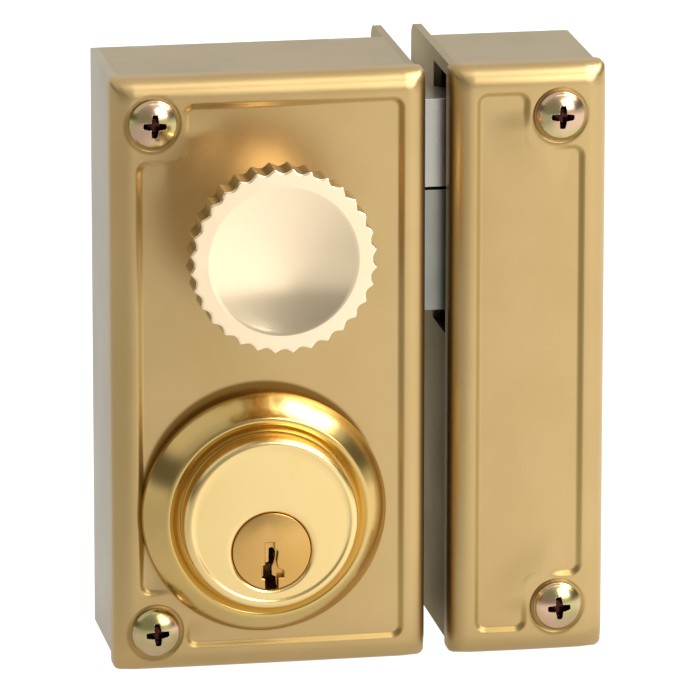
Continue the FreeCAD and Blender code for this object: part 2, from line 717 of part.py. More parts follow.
def pillar_places():
    """Centres of the two pillars that hold the cylinder."""
    return [(CYL_X + side * PILLAR_X, CYL_Z - PILLAR_DROP) for side in (-1, 1)]


def cylinder_pillar(x, z):
    """Tube between the back plate and the cylinder."""
    tube = rod_y(x, z, PILLAR_R, CYL_BACK, BACK_IN)
    return tube.cut(rod_y(x, z, PILLAR_SCREW_R, CYL_BACK - OVER, 0))


def cylinder_screw(x, z):
    """Countersunk screw from the back, through its pillar into the cylinder."""
    head = cone_y(x, z, PILLAR_SCREW_R, PILLAR_HEAD_R, BACK_IN, -PILLAR_HEAD_SINK)
    shank = rod_y(x, z, PILLAR_SCREW_R, CYL_BACK - PILLAR_SCREW_BITE, BACK_IN)
    half = PILLAR_SLOT_W / 2
    slot = block(x - PILLAR_HEAD_R, x + PILLAR_HEAD_R, -PILLAR_HEAD_SINK - PILLAR_SLOT_DEPTH,
                 OVER, z - half, z + half)
    return join([head, shank]).cut(slot)


def bolt_head(z0, z1, bevelled):
    """Bolt head with a slit for its tail, bevelled at the back if it is the latch."""
    y0 = -BOLT_FRONT
    y1 = y0 + BOLT_T
    head = block(BOLT_HEAD_X, BOLT_NOSE, y0, y1, z0, z1)
    if bevelled:
        rise = BOLT_T - LATCH_TIP_T
        cut = [(BOLT_NOSE, y0 + LATCH_TIP_T), (BOLT_NOSE + OVER, y0 + LATCH_TIP_T),
               (BOLT_NOSE + OVER, y1 + OVER), (BOLT_NOSE - rise, y1 + OVER),
               (BOLT_NOSE - rise, y1)]
        loop = [Vector(x, y, z0 - OVER) for x, y in cut]
        length = Vector(0, 0, z1 - z0 + 2 * OVER)
        head = head.cut(Part.Face(Part.makePolygon(loop + loop[:1])).extrude(length))
    rim = edges_where(head, lambda p: abs(p.x - BOLT_NOSE) < NEAR)
    head = head.makeFillet(BOLT_EDGE_R, rim)
    slit = block(BOLT_HEAD_X - OVER, BOLT_HEAD_X + BOLT_SLIT, TAIL_FRONT, -TAIL_BACK,
                 z0 - OVER, z1 + OVER)
    return head.cut(slit)


def rivet_places(z0, z1):
    """X and Z of the two rivets that join a bolt head to its tail."""
    x = BOLT_HEAD_X + BOLT_SLIT / 2
    return [(x, z0 + RIVET_INSET), (x, z1 - RIVET_INSET)]


def drill(shape, places, radius):
    """Round holes along Y."""
    for x, z in places:
        shape = shape.cut(rod_y(x, z, radius, -BOLT_FRONT - OVER, 0))
    return shape


def rivets(z0, z1):
    """Rivets flush with both faces of a bolt head."""
    return [rod_y(x, z, RIVET_R, -BOLT_FRONT, -BOLT_FRONT + BOLT_T) for x, z in rivet_places(z0, z1)]


def guide_slot(z):
    """Slot along X that lets a tail slide past its guide post."""
    half = GUIDE_R + MOVE_FIT
    end = GUIDE_X + TRAVEL
    y0 = TAIL_FRONT - OVER
    y1 = -TAIL_BACK + OVER
    return join([block(GUIDE_X, end, y0, y1, z - half, z + half),
                 rod_y(GUIDE_X, z, half, y0, y1), rod_y(end, z, half, y0, y1)])


def pin_notch(x, low, high):
    """Notch, open below, that the crank pin works in."""
    half = CRANK_PIN_R + PIN_SLOT_FIT
    y0 = TAIL_FRONT - OVER
    y1 = -TAIL_BACK + OVER
    return join([block(x - half, x + half, y0, y1, low - OVER, high - half),
                 rod_y(x, high - half, half, y0, y1)])


def latch_tail():
    """Plate that the knob's crank pulls."""
    plate = block(TAIL_X, BOLT_HEAD_X + BOLT_SLIT, TAIL_FRONT, -TAIL_BACK, LATCH_Z0, LATCH_Z1)
    high = KNOB_Z + CRANK_R + CRANK_PIN_R + MOVE_FIT
    plate = plate.cut(pin_notch(KNOB_X + CRANK_DX, LATCH_Z0, high)).cut(guide_slot(GUIDE_LATCH_Z))
    return drill(plate, rivet_places(LATCH_Z0, LATCH_Z1), RIVET_R)


def dead_tail():
    """Plate that hangs from the dead bolt down to the cylinder's crank."""
    head = block(DEAD_LINK_X, BOLT_HEAD_X + BOLT_SLIT, TAIL_FRONT, -TAIL_BACK, DEAD_Z0, DEAD_Z1)
    link_x1 = DEAD_LINK_X + DEAD_LINK_W
    link = block(DEAD_LINK_X, link_x1, TAIL_FRONT, -TAIL_BACK, DEAD_FOOT_Z0, DEAD_Z0)
    foot = block(TAIL_X, link_x1, TAIL_FRONT, -TAIL_BACK, DEAD_FOOT_Z0, DEAD_FOOT_Z1)
    plate = join([head, link, foot])
    high = PLUG_Z + CRANK_R + CRANK_PIN_R + MOVE_FIT
    plate = plate.cut(pin_notch(CYL_X + CRANK_DX, DEAD_FOOT_Z0, high)).cut(guide_slot(GUIDE_DEAD_Z))
    return drill(plate, rivet_places(DEAD_Z0, DEAD_Z1), RIVET_R)


def guide_post(z):
    """Shouldered post with a round head, on the back plate."""
    shoulder = rod_y(GUIDE_X, z, GUIDE_HEAD_R, -TAIL_BACK + MOVE_FIT, BACK_IN)
    stem = rod_y(GUIDE_X, z, GUIDE_R, TAIL_FRONT - MOVE_FIT, -TAIL_BACK + MOVE_FIT)
    head = rod_y(GUIDE_X, z, GUIDE_HEAD_R, TAIL_FRONT - MOVE_FIT - GUIDE_HEAD_T, TAIL_FRONT - MOVE_FIT)
    return join([shoulder, stem, head])


def knob_crank_front():
    """Y of the front of the knob crank's hub."""
    return CRANK_BACK - CRANK_HUB_T


def crank_roll_pin():
    """Pin across the crank's hub and the spindle."""
    y = knob_crank_front() + (CRANK_HUB_T - CRANK_ARM_T) / 2
    return rod_x(y, KNOB_Z, ROLL_PIN_R, KNOB_X - CRANK_HUB_R, KNOB_X + CRANK_HUB_R)


def spindle_clip_y():
    """Y where the spindle's retaining ring starts, behind the bush."""
    return PANEL_INSIDE + BUSH_NUT_T + MOVE_FIT


def knob_spindle():
    """Spindle from inside the knob to the bush on the back plate."""
    spindle = rod_y(KNOB_X, KNOB_Z, SPINDLE_R, KNOB_BACK - SPINDLE_IN_KNOB, BACK_IN - MOVE_FIT)
    groove = clip_groove(KNOB_X, KNOB_Z, SPINDLE_R - GROOVE_DEPTH, spindle_clip_y())
    return spindle.cut(groove).cut(crank_roll_pin())


def knob_crank():
    """Crank with a long hub, pinned to the spindle."""
    bore = rod_y(KNOB_X, KNOB_Z, SPINDLE_R, knob_crank_front() - OVER, 0)
    hub = rod_y(KNOB_X, KNOB_Z, CRANK_HUB_R, knob_crank_front(), CRANK_BACK - CRANK_ARM_T)
    return join([crank(KNOB_X, KNOB_Z, bore), hub.cut(bore)]).cut(crank_roll_pin())


def spring_bracket():
    """Bracket on the back plate against the side wall."""
    return block(SPRING_SEAT_X - BRACKET_T, SPRING_SEAT_X, BACK_IN - BRACKET_D, BACK_IN,
                 SPRING_Z - BRACKET_H / 2, SPRING_Z + BRACKET_H / 2)


def spring_rod():
    """Rod inside the spring, fixed in the bracket."""
    end = TAIL_X - TRAVEL - ROD_GAP
    return rod_x(-(TAIL_BACK + TAIL_T / 2), SPRING_Z, ROD_R, SPRING_SEAT_X, end)


def lock_tabs():
    """Middle X of each tab of the lock's back plate."""
    return (LOCK_X0 + TAB_FROM_EDGE, LOCK_X1 - TAB_FROM_EDGE)


def keeper_tabs():
    """Middle X of each tab of the keeper's back plate."""
    return (KEEPER_X0 + KEEPER_TAB_FROM_EDGE, KEEPER_X1 - KEEPER_TAB_FROM_EDGE)


def lock_shell():
    """Back and side of the lock case with all its holes."""
    shell = case_shell(LOCK_X0 + INSET, FOREND_FACE - CASE_T, "left", lock_tabs())
    for x in (LOCK_X0 + BACK_HOLES_FROM_EDGE, LOCK_X1 - BACK_HOLES_FROM_EDGE):
        for z in (BACK_HOLES_FROM_END - TOP, TOP - BACK_HOLES_FROM_END):
            shell = shell.cut(rod_y(x, z, WOOD_HOLE_R, BACK_IN - OVER, OVER))
    shell = shell.cut(rod_y(CYL_X, PLUG_Z, OUTER_HOLE_R, BACK_IN - OVER, OVER))
    for x, z in pillar_places():
        shell = shell.cut(rod_y(x, z, PILLAR_SCREW_R, BACK_IN - OVER, OVER))
        shell = shell.cut(cone_y(x, z, PILLAR_SCREW_R, PILLAR_HEAD_R, BACK_IN, -PILLAR_HEAD_SINK))
        shell = shell.cut(rod_y(x, z, PILLAR_HEAD_R, -PILLAR_HEAD_SINK, OVER))
    return shell


def keeper_shell():
    """Back and side of the keeper case with its screw holes."""
    shell = case_shell(KEEPER_X0 + INSET + CASE_T, KEEPER_X1 - INSET, "right", keeper_tabs())
    for z in (KEEPER_HOLES_FROM_END - TOP, TOP - KEEPER_HOLES_FROM_END):
        hole = rod_y((KEEPER_X0 + KEEPER_X1) / 2, z, WOOD_HOLE_R, BACK_IN - OVER, OVER)
        shell = shell.cut(hole)
    return shell


def screw_places(x, from_end):
    """Centres of the two cover screws at this X, below and above."""
    return [(x, from_end - TOP), (x, TOP - from_end)]


def save(name, shapes):
    """Write one node, of one solid or of several alike."""
    shapes = shapes if isinstance(shapes, list) else [shapes]
    solids = [s for shape in shapes for s in shape.Solids]
    for solid in solids:
        if not solid.isValid() or solid.Volume <= 0:
            print("bad solid in", name, solid.Volume)
    node = solids[0] if len(solids) == 1 else Part.makeCompound(solids)
    node.exportStep("parts/" + name + ".step")
    print(name, len(solids), round(sum(s.Volume for s in solids), 2))


def main():
    """Make every node."""
    os.makedirs("parts", exist_ok=True)
    lock_screws = screw_places(LOCK_X0 + LOCK_SCREW_FROM_EDGE, LOCK_SCREW_FROM_END)
    keeper_screws = screw_places(KEEPER_X1 - KEEPER_SCREW_FROM_EDGE, KEEPER_SCREW_FROM_END)

    cover = pressed_cover(LOCK_X0, LOCK_X1, "left", LOCK_NOTCH_X, lock_screws, True)
    cover = cover.cut(rod_y(CYL_X, CYL_Z, CYL_R + COVER_FIT, FRONT - OVER, CASE_FRONT))
    cover = cover.cut(rod_y(KNOB_X, KNOB_Z, BUSH_R, FRONT - OVER, CASE_FRONT))
    save("lock_cover", cover)
    corners = lap_corners(LOCK_X0 + INSET, FOREND_FACE)
    save("lock_case_shell", lock_shell().cut(corners))
    walls = (LOCK_X0 + INSET + CASE_T, FOREND_FACE - CASE_T)
    save("lock_top_wall", end_wall(*walls, 1, lock_tabs()).cut(corners))
    save("lock_bottom_wall", end_wall(*walls, -1, lock_tabs()).cut(corners))
    forend = edge_plate(FOREND_FACE, 1, DEAD_Z0 - BOLT_HOLE_FIT, LATCH_Z1 + BOLT_HOLE_FIT,
                        BOLT_HOLE_FIT)
    save("forend_plate", forend.cut(corners))
    save("lock_cover_posts", [cover_post(x, z) for x, z in lock_screws])
    save("lock_cover_screws", [cover_screw(x, z) for x, z in lock_screws])

    save("cylinder_rosette", rosette())
    save("cylinder_housing", cylinder_housing())
    save("cylinder_plug", cylinder_plug())
    save("key_pins", key_pins())
    save("driver_pins", driver_pins())
    save("pin_springs", pin_springs())
    save("chamber_caps", chamber_caps())
    save("cylinder_pillars", [cylinder_pillar(x, z) for x, z in pillar_places()])
    save("cylinder_screws", [cylinder_screw(x, z) for x, z in pillar_places()])
    save("cylinder_crank", crank(CYL_X, PLUG_Z, plug_square(0)))
    save("plug_clip", clip_ring(CYL_X, PLUG_Z, PLUG_CLIP_R, CRANK_BACK))

    save("knob", knob())
    save("knob_grub_screw", grub_screw())
    save("knob_spindle", knob_spindle())
    save("spindle_clip", clip_ring(KNOB_X, KNOB_Z, SPINDLE_R - GROOVE_DEPTH, spindle_clip_y()))
    save("knob_bush", knob_bush())
    save("bush_nut", bush_nut())
    save("spindle_rear_bush", rear_bush())
    save("knob_crank", knob_crank())
    save("crank_roll_pin", crank_roll_pin())

    save("latch_bolt", drill(bolt_head(LATCH_Z0, LATCH_Z1, True),
                             rivet_places(LATCH_Z0, LATCH_Z1), RIVET_R))
    save("latch_tail", latch_tail())
    save("latch_rivets", rivets(LATCH_Z0, LATCH_Z1))
    save("latch_spring", latch_spring())
    save("spring_bracket", spring_bracket())
    save("spring_rod", spring_rod())
    save("dead_bolt", drill(bolt_head(DEAD_Z0, DEAD_Z1, False),
                            rivet_places(DEAD_Z0, DEAD_Z1), RIVET_R))
    save("dead_bolt_tail", dead_tail())
    save("dead_bolt_rivets", rivets(DEAD_Z0, DEAD_Z1))
    save("tail_guide_posts", [guide_post(GUIDE_LATCH_Z), guide_post(GUIDE_DEAD_Z)])

    save("keeper_cover", pressed_cover(KEEPER_X0, KEEPER_X1, "right", KEEPER_NOTCH_X,
                                       keeper_screws, False))
    corners = lap_corners(KEEPER_X0 + INSET, KEEPER_X1 - INSET)
    save("keeper_case_shell", keeper_shell().cut(corners))
    walls = (KEEPER_X0 + INSET + CASE_T, KEEPER_X1 - INSET - CASE_T)
    save("keeper_top_wall", end_wall(*walls, 1, keeper_tabs()).cut(corners))
    save("keeper_bottom_wall", end_wall(*walls, -1, keeper_tabs()).cut(corners))
    strike = edge_plate(KEEPER_X0 + INSET, -1, DEAD_Z0 - STRIKE_HOLE_BELOW,
                        LATCH_Z1 + STRIKE_HOLE_ABOVE, STRIKE_HOLE_MARGIN)
    save("strike_plate", strike.cut(corners))
    save("keeper_cover_posts", [cover_post(x, z) for x, z in keeper_screws])
    save("keeper_cover_screws", [cover_screw(x, z) for x, z in keeper_screws])


main()
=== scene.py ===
import math

import bmesh
import bpy
import numpy as np
from mathutils import Matrix, Vector


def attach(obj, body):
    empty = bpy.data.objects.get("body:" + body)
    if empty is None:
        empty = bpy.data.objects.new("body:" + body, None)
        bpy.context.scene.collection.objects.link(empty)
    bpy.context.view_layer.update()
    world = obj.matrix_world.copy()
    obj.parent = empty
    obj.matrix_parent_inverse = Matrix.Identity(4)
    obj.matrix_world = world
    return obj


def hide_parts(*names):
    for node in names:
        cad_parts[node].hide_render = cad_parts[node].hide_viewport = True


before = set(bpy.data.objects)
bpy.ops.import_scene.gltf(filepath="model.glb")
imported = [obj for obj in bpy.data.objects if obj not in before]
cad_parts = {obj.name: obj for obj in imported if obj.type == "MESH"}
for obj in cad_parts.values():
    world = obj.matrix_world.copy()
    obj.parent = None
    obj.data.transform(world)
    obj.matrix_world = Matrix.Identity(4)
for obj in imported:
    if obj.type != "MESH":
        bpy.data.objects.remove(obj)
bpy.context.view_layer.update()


# Lock case: back plate with its left side, top and bottom walls, and the forend plate.
# Folded steel sheet with dull zinc plating; the walls are tabbed into the back plate. The shapes are the
# CAD's, with their edges eased.
MM = 0.001
SAME_POINT = 2e-6
FOLD_ANGLE, FLAT_ANGLE = 35, 1
EASED_SHARP = 14.0
GRAIN_HEIGHT = 0.00002
LIT_ABOVE_GAP_FROM, LIT_ABOVE_GAP_FULL = 44.0, 54.0


def effect_group(name, inputs, outputs):
    """Empty node group with these input sockets (name, type, default) and output sockets (name, type)."""
    tree = bpy.data.node_groups.new(name, "ShaderNodeTree")
    for label, kind, value in inputs:
        tree.interface.new_socket(label, in_out="INPUT", socket_type=kind).default_value = value
    for label, kind in outputs:
        tree.interface.new_socket(label, in_out="OUTPUT", socket_type=kind)
    return tree, tree.nodes.new("NodeGroupInput"), tree.nodes.new("NodeGroupOutput")


def add(tree, kind, links=(), **settings):
    """New node with its properties set, and its inputs linked or given values by name or number."""
    node = tree.nodes.new(kind)
    for key, value in settings.items():
        setattr(node, key, value)
    for socket, source in dict(links).items():
        if isinstance(source, bpy.types.NodeSocket):
            tree.links.new(source, node.inputs[socket])
        else:
            node.inputs[socket].default_value = source
    return node


def smooth_range(tree, value, low, high, first=0.0, last=1.0):
    """Smooth step from the first to the last result as the value goes from low to high."""
    return add(tree, "ShaderNodeMapRange", {"Value": value, "From Min": low, "From Max": high,
                                            "To Min": first, "To Max": last},
               interpolation_type="SMOOTHSTEP").outputs[0]


def grain_group():
    """Fine surface grain: a roughness that wanders about its middle value, and the grain's height."""
    tree, enter, leave = effect_group(
        "grain",
        [("Place", "NodeSocketVector", (0, 0, 0)), ("Scale", "NodeSocketFloat", 900.0),
         ("Roughness", "NodeSocketFloat", 0.3), ("Spread", "NodeSocketFloat", 0.05)],
        [("Roughness", "NodeSocketFloat"), ("Height", "NodeSocketFloat")])
    fine = add(tree, "ShaderNodeTexNoise", {"Vector": enter.outputs["Place"],
                                            "Scale": enter.outputs["Scale"], "Detail": 3.0})
    wide = add(tree, "ShaderNodeTexNoise", {"Vector": enter.outputs["Place"], "Scale": 45.0,
                                            "Detail": 4.0})
    both = add(tree, "ShaderNodeMath", {0: fine.outputs["Fac"], 1: wide.outputs["Fac"]},
               operation="ADD")
    centred = add(tree, "ShaderNodeMath", {0: both.outputs[0], 1: 1.0}, operation="SUBTRACT")
    spread = add(tree, "ShaderNodeMath", {0: centred.outputs[0], 1: enter.outputs["Spread"],
                                          2: enter.outputs["Roughness"]},
                 operation="MULTIPLY_ADD", use_clamp=True)
    tree.links.new(spread.outputs[0], leave.inputs["Roughness"])
    tree.links.new(fine.outputs["Fac"], leave.inputs["Height"])
    return tree


def tone_group():
    """Two tones of one metal, clouded by a soft noise, and a paler tone on the edges, broken by noise: part
    edge wear, part painted highlight.
    """
    tree, enter, leave = effect_group(
        "tone",
        [("Place", "NodeSocketVector", (0, 0, 0)), ("Scale", "NodeSocketFloat", 60.0),
         ("First", "NodeSocketColor", (1, 1, 1, 1)), ("Second", "NodeSocketColor", (1, 1, 1, 1)),
         ("Rubbed", "NodeSocketColor", (1, 1, 1, 1)), ("Worn", "NodeSocketFloat", 0.0)],
        [("Color", "NodeSocketColor")])
    noise = add(tree, "ShaderNodeTexNoise", {"Vector": enter.outputs["Place"],
                                             "Scale": enter.outputs["Scale"], "Detail": 5.0})
    soft = smooth_range(tree, noise.outputs["Fac"], 0.35, 0.65)
    mix = add(tree, "ShaderNodeMix", {0: soft, 6: enter.outputs["First"], 7: enter.outputs["Second"]},
              data_type="RGBA")
    patchy = add(tree, "ShaderNodeTexNoise", {"Vector": enter.outputs["Place"], "Scale": 320.0,
                                              "Detail": 6.0})
    broken = add(tree, "ShaderNodeMath", {0: patchy.outputs["Fac"], 1: enter.outputs["Worn"]},
                 operation="MULTIPLY")
    shows = smooth_range(tree, broken.outputs[0], 0.25, 0.60, 0.0, 0.7)
    rub = add(tree, "ShaderNodeMix", {0: shows, 6: mix.outputs[2], 7: enter.outputs["Rubbed"]},
              data_type="RGBA")
    tree.links.new(rub.outputs[2], leave.inputs["Color"])
    return tree


def streak_group():
    """Height of fine streaks: a noise drawn out along the axis whose stretch is small."""
    tree, enter, leave = effect_group(
        "streaks",
        [("Place", "NodeSocketVector", (0, 0, 0)), ("Stretch", "NodeSocketVector", (1, 1, 1))],
        [("Height", "NodeSocketFloat")])
    drawn = add(tree, "ShaderNodeVectorMath", {0: enter.outputs["Place"], 1: enter.outputs["Stretch"]},
                operation="MULTIPLY")
    noise = add(tree, "ShaderNodeTexNoise", {"Vector": drawn.outputs[0], "Scale": 1.0, "Detail": 3.0})
    tree.links.new(noise.outputs["Fac"], leave.inputs["Height"])
    return tree


def turning_group():
    """Height of a lathe's fine marks: a noise of the distance to the axis that runs along Y."""
    tree, enter, leave = effect_group(
        "turning",
        [("Place", "NodeSocketVector", (0, 0, 0)), ("Centre", "NodeSocketVector", (0, 0, 0)),
         ("Scale", "NodeSocketFloat", 4000.0)],
        [("Height", "NodeSocketFloat")])
    off = add(tree, "ShaderNodeVectorMath", {0: enter.outputs["Place"], 1: enter.outputs["Centre"]},
              operation="SUBTRACT")
    flat = add(tree, "ShaderNodeVectorMath", {0: off.outputs[0], 1: (1.0, 0.0, 1.0)}, operation="MULTIPLY")
    far = add(tree, "ShaderNodeVectorMath", {0: flat.outputs[0]}, operation="LENGTH")
    noise = add(tree, "ShaderNodeTexNoise", {"W": far.outputs["Value"], "Scale": enter.outputs["Scale"],
                                             "Detail": 2.0}, noise_dimensions="1D")
    tree.links.new(noise.outputs["Fac"], leave.inputs["Height"])
    return tree


GRAIN = grain_group()
TONE = tone_group()
STREAKS = streak_group()
TURNING = turning_group()


def effect(tree, group, **values):
    """Group node placed in a material, with its inputs linked or set by name."""
    node = add(tree, "ShaderNodeGroup", node_tree=group)
    for socket, source in values.items():
        if isinstance(source, bpy.types.NodeSocket):
            tree.links.new(source, node.inputs[socket])
        else:
            node.inputs[socket].default_value = source
    return node


def metal(name, first, second, roughness, spread, scale=900.0, height=0.3, rubbed_and_highlight=None, marks=None,
          clouds=60.0, glancing=(1.0, 1.0, 1.0)):
    """Metal of two clouded tones with fine grain, paler on its edges as wear and painted highlight. marks
    adds the height of lathe marks round a centre, or of streaks, as (group, its own input, value, share);
    glancing tints the light at a low angle."""
    made = bpy.data.materials.new(name)
    made.use_nodes = True
    tree = made.node_tree
    shader = tree.nodes["Principled BSDF"]
    place = add(tree, "ShaderNodeTexCoord").outputs["Object"]
    wear_and_highlight = add(tree, "ShaderNodeAttribute", attribute_name="wear_and_highlight").outputs["Fac"]
    rubbed_and_highlight = rubbed_and_highlight or tuple(min(1.0, 1.25 * c + 0.03) for c in second)
    tone = effect(tree, TONE, Place=place, Scale=clouds, First=(*first, 1), Second=(*second, 1),
                  Rubbed=(*rubbed_and_highlight, 1), Worn=wear_and_highlight)
    grain = effect(tree, GRAIN, Place=place, Scale=scale, Roughness=roughness, Spread=spread)
    raised = grain.outputs["Height"]
    if marks:
        group, socket, value, share = marks
        fine = effect(tree, group, Place=place, **{socket: value})
        raised = add(tree, "ShaderNodeMath", {0: fine.outputs["Height"], 1: share, 2: raised},
                     operation="MULTIPLY_ADD").outputs[0]
    bump = add(tree, "ShaderNodeBump", {"Height": raised, "Distance": GRAIN_HEIGHT, "Strength": height})
    tree.links.new(tone.outputs["Color"], shader.inputs["Base Color"])
    tree.links.new(grain.outputs["Roughness"], shader.inputs["Roughness"])
    tree.links.new(bump.outputs["Normal"], shader.inputs["Normal"])
    shader.inputs["Metallic"].default_value = 1.0
    shader.inputs["Specular Tint"].default_value = (*glancing, 1)
    return made


def repaint(material, share, colour):
    """Turn the material's colour to another one by a share that varies over the surface."""
    tree = material.node_tree
    paint = tree.nodes["Principled BSDF"].inputs["Base Color"]
    mix = add(tree, "ShaderNodeMix", {0: share, 6: paint.links[0].from_socket, 7: (*colour, 1)},
              data_type="RGBA")
    tree.links.new(mix.outputs[2], paint)


def dress(material, slot, *nodes):
    """Give CAD nodes their material; the slot is not used."""
    for node in nodes:
        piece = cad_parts[node]
        piece.data.materials.clear()
        piece.data.materials.append(material)


def placed(name, mesh, material, body, nodes, sharp):
    """Piece of this mesh, smooth but for its sharp edges, that rides its body and stands for CAD nodes."""
    mesh.shade_smooth()
    mesh.set_sharp_from_angle(angle=math.radians(sharp))
    mesh.materials.append(material)
    piece = bpy.data.objects.new(name, mesh)
    bpy.context.scene.collection.objects.link(piece)
    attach(piece, body)
    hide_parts(*nodes)
    return piece


def eased(node, material, body, width=0.2):
    """Copy of a CAD node with its triangles merged, its flat faces joined and its edges rounded. The
    rounded faces are marked for the paler edge tone: part wear, part painted highlight."""
    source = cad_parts[node].data
    places = np.empty(len(source.vertices) * 3)
    source.vertices.foreach_get("co", places)
    corners = np.empty(len(source.loops), int)
    source.loops.foreach_get("vertex_index", corners)
    mesh = bpy.data.meshes.new(node + "_eased")
    mesh.from_pydata(places.reshape(-1, 3).tolist(), [], corners.reshape(-1, 3).tolist())
    shape = bmesh.new()
    shape.from_mesh(mesh)
    bmesh.ops.remove_doubles(shape, verts=shape.verts, dist=SAME_POINT)
    flat, fold = math.radians(FLAT_ANGLE), math.radians(FOLD_ANGLE)
    bmesh.ops.dissolve_limit(shape, angle_limit=flat, verts=shape.verts, edges=shape.edges)
    wear_and_highlight = shape.faces.layers.float.new("wear_and_highlight")
    folded = [e for e in shape.edges if len(e.link_faces) == 2 and e.calc_face_angle() > fold]
    rounded = bmesh.ops.bevel(shape, geom=folded, offset=width * MM, offset_type="OFFSET", segments=3,
                              profile=0.5, affect="EDGES", clamp_overlap=True)
    for face in rounded["faces"]:
        face[wear_and_highlight] = 1.0
    shape.to_mesh(mesh)
    shape.free()
    return placed(mesh.name, mesh, material, body, [node], EASED_SHARP)


plated_steel = metal("plated_steel", (0.44, 0.345, 0.20), (0.48, 0.375, 0.22), 0.36, 0.10, 2500.0, 0.3,
                     (0.62, 0.56, 0.42), (STREAKS, "Stretch", (2500.0, 60.0, 2500.0), 1.2))
for node in ("lock_top_wall", "lock_bottom_wall"):
    eased(node, plated_steel, "lock_case")
side_steel = metal("side_steel", (0.46, 0.40, 0.30), (0.50, 0.44, 0.335), 0.36, 0.10, 2500.0, 0.3,
                   (0.64, 0.60, 0.50), (STREAKS, "Stretch", (2500.0, 2500.0, 60.0), 1.2))
eased("lock_case_shell", side_steel, "lock_case")
# Painted shade: the plates beside the gap are painted dark in it, with a dimmed glancing tint, and lighter
# where they stand clear above it.
gap_shaded_steel = metal("gap_shaded_steel", (0.25, 0.205, 0.13), (0.30, 0.25, 0.165), 0.40, 0.12, 2500.0, 0.3,
                  (0.46, 0.42, 0.33), (STREAKS, "Stretch", (2500.0, 2500.0, 60.0), 1.2),
                  glancing=(0.62, 0.57, 0.46))
tree = gap_shaded_steel.node_tree
place = add(tree, "ShaderNodeTexCoord").outputs["Object"]
height = add(tree, "ShaderNodeSeparateXYZ", {0: place}).outputs["Z"]
lit_above_gap = smooth_range(tree, height, LIT_ABOVE_GAP_FROM * MM, LIT_ABOVE_GAP_FULL * MM)
repaint(gap_shaded_steel, lit_above_gap, (0.56, 0.49, 0.37))
eased("forend_plate", gap_shaded_steel, "lock_case")


# Small steel parts inside the lock: posts, pillars, cranks, tails, spindle, pins, rivets, clips and springs.
# Turned, cut and wound steel; the fixed ones are riveted or screwed to the back plate.
inner_steel = metal("inner_steel", (0.42, 0.41, 0.39), (0.49, 0.48, 0.45), 0.38, 0.10)
dress(inner_steel, "plated_steel", "lock_cover_posts", "keeper_cover_posts", "cylinder_pillars",
      "spring_bracket", "knob_crank", "cylinder_crank", "latch_tail", "dead_bolt_tail")
dress(inner_steel, "dark_steel", "knob_spindle")
dark_steel = metal("dark_steel", (0.22, 0.21, 0.20), (0.30, 0.29, 0.27), 0.42, 0.12)
dress(dark_steel, "dark_steel", "cylinder_screws", "knob_grub_screw", "crank_roll_pin",
      "latch_rivets", "dead_bolt_rivets", "spring_rod", "tail_guide_posts")
spring_steel = metal("spring_steel", (0.45, 0.45, 0.44), (0.55, 0.54, 0.52), 0.25, 0.08)
dress(spring_steel, "spring_steel", "latch_spring", "pin_springs", "spindle_clip", "plug_clip")


# Bolts: the latch and the dead bolt, whose noses stand in the gap.
# Ground steel, the latch nickel plated and the dead bolt's steel painted darker as shade; each is riveted to
# its tail plate.
bolt_steel = metal("bolt_steel", (0.42, 0.41, 0.37), (0.48, 0.46, 0.42), 0.30, 0.10, 1500.0, 0.3,
                   (0.70, 0.69, 0.66), (STREAKS, "Stretch", (80.0, 2500.0, 2500.0), 1.5))
eased("latch_bolt", bolt_steel, "latch", 0.5)
# The dead bolt's steel is painted darker as shade.
dead_bolt_shaded_steel = metal("dead_bolt_shaded_steel", (0.24, 0.25, 0.22), (0.31, 0.31, 0.28), 0.32, 0.10, 1500.0, 0.3,
                   (0.55, 0.54, 0.51), (STREAKS, "Stretch", (80.0, 2500.0, 2500.0), 1.5))
eased("dead_bolt", dead_bolt_shaded_steel, "dead_bolt", 0.4)


# Cover of the lock case: a pressed pan with a rolled edge, a sunk panel and a seat for each screw.
# Sheet steel with a satin gold finish, painted dark as shade in the panel's steps and the screws' seats; two
# screws hold it on the posts behind.
FRONT = -35.0
HALF_WIDTH = 30
HALF_HEIGHT = 57.5
SKIRT_END = -28.8
COVER_T = 0.9
ROLL_R = 3.9
CORNER_R = 4.3
ROLL_STEPS = 14
BOW = 0.2
CORNER_SQUARED = 0.7
# Points that stand out by these, in 1/mm, take the paler edge tone: part wear, part painted highlight.
WEAR_AND_HIGHLIGHT_FROM = 0.5
WEAR_AND_HIGHLIGHT_FULL = 3.0
PANEL_DEPTH = 0.6
STEP_W = 1.4
STEP_OUT = 0.5
INNER_SHIFT = 0.7
PANEL_HIGH = 52.55
PANEL_CORNER_R = 2.0
NOTCH_Z = 41.95
LOCK_PANEL_X = 25.1
LOCK_NOTCH_X = -16.3
SEAT_R = 5.4
SEAT_DEPTH = 0.3
SEAT_STEP_W = 0.4
FADE_START, FADE_W = 0.6, 9.0
WEDGE_START, WEDGE_W = 2.0, 5.0
CELL = 1.4
LEAST_CELL = 0.05
LINE_STEP = 0.01
SKIRT_BANDS = [2.5, 3]
LEAST_LENGTH = 0.02
TINY = 1e-9
STEP_REACH, STEP_CELL = 2.6, 0.16
SEAT_REACH, SEAT_CELL = 7, 0.3
LOCK_SCREWS = [(-22.2, -49.3), (-22.2, 49.3)]
KEEPER_SCREWS = [(55.2, -48.0), (55.2, 48.0)]
SCREW_HOLE_R = 2.05
HOLE_REACH = 1.6
CYL_X, CYL_Z, PLUG_Z = -1.6, -26.3, -31.7
CYL_HOLE_R = 16.65
KNOB_Z = 28.0
KNOB_HOLE_R = 5.5
ROSE_R = 23.4
ROSE_ROOM = 0.3


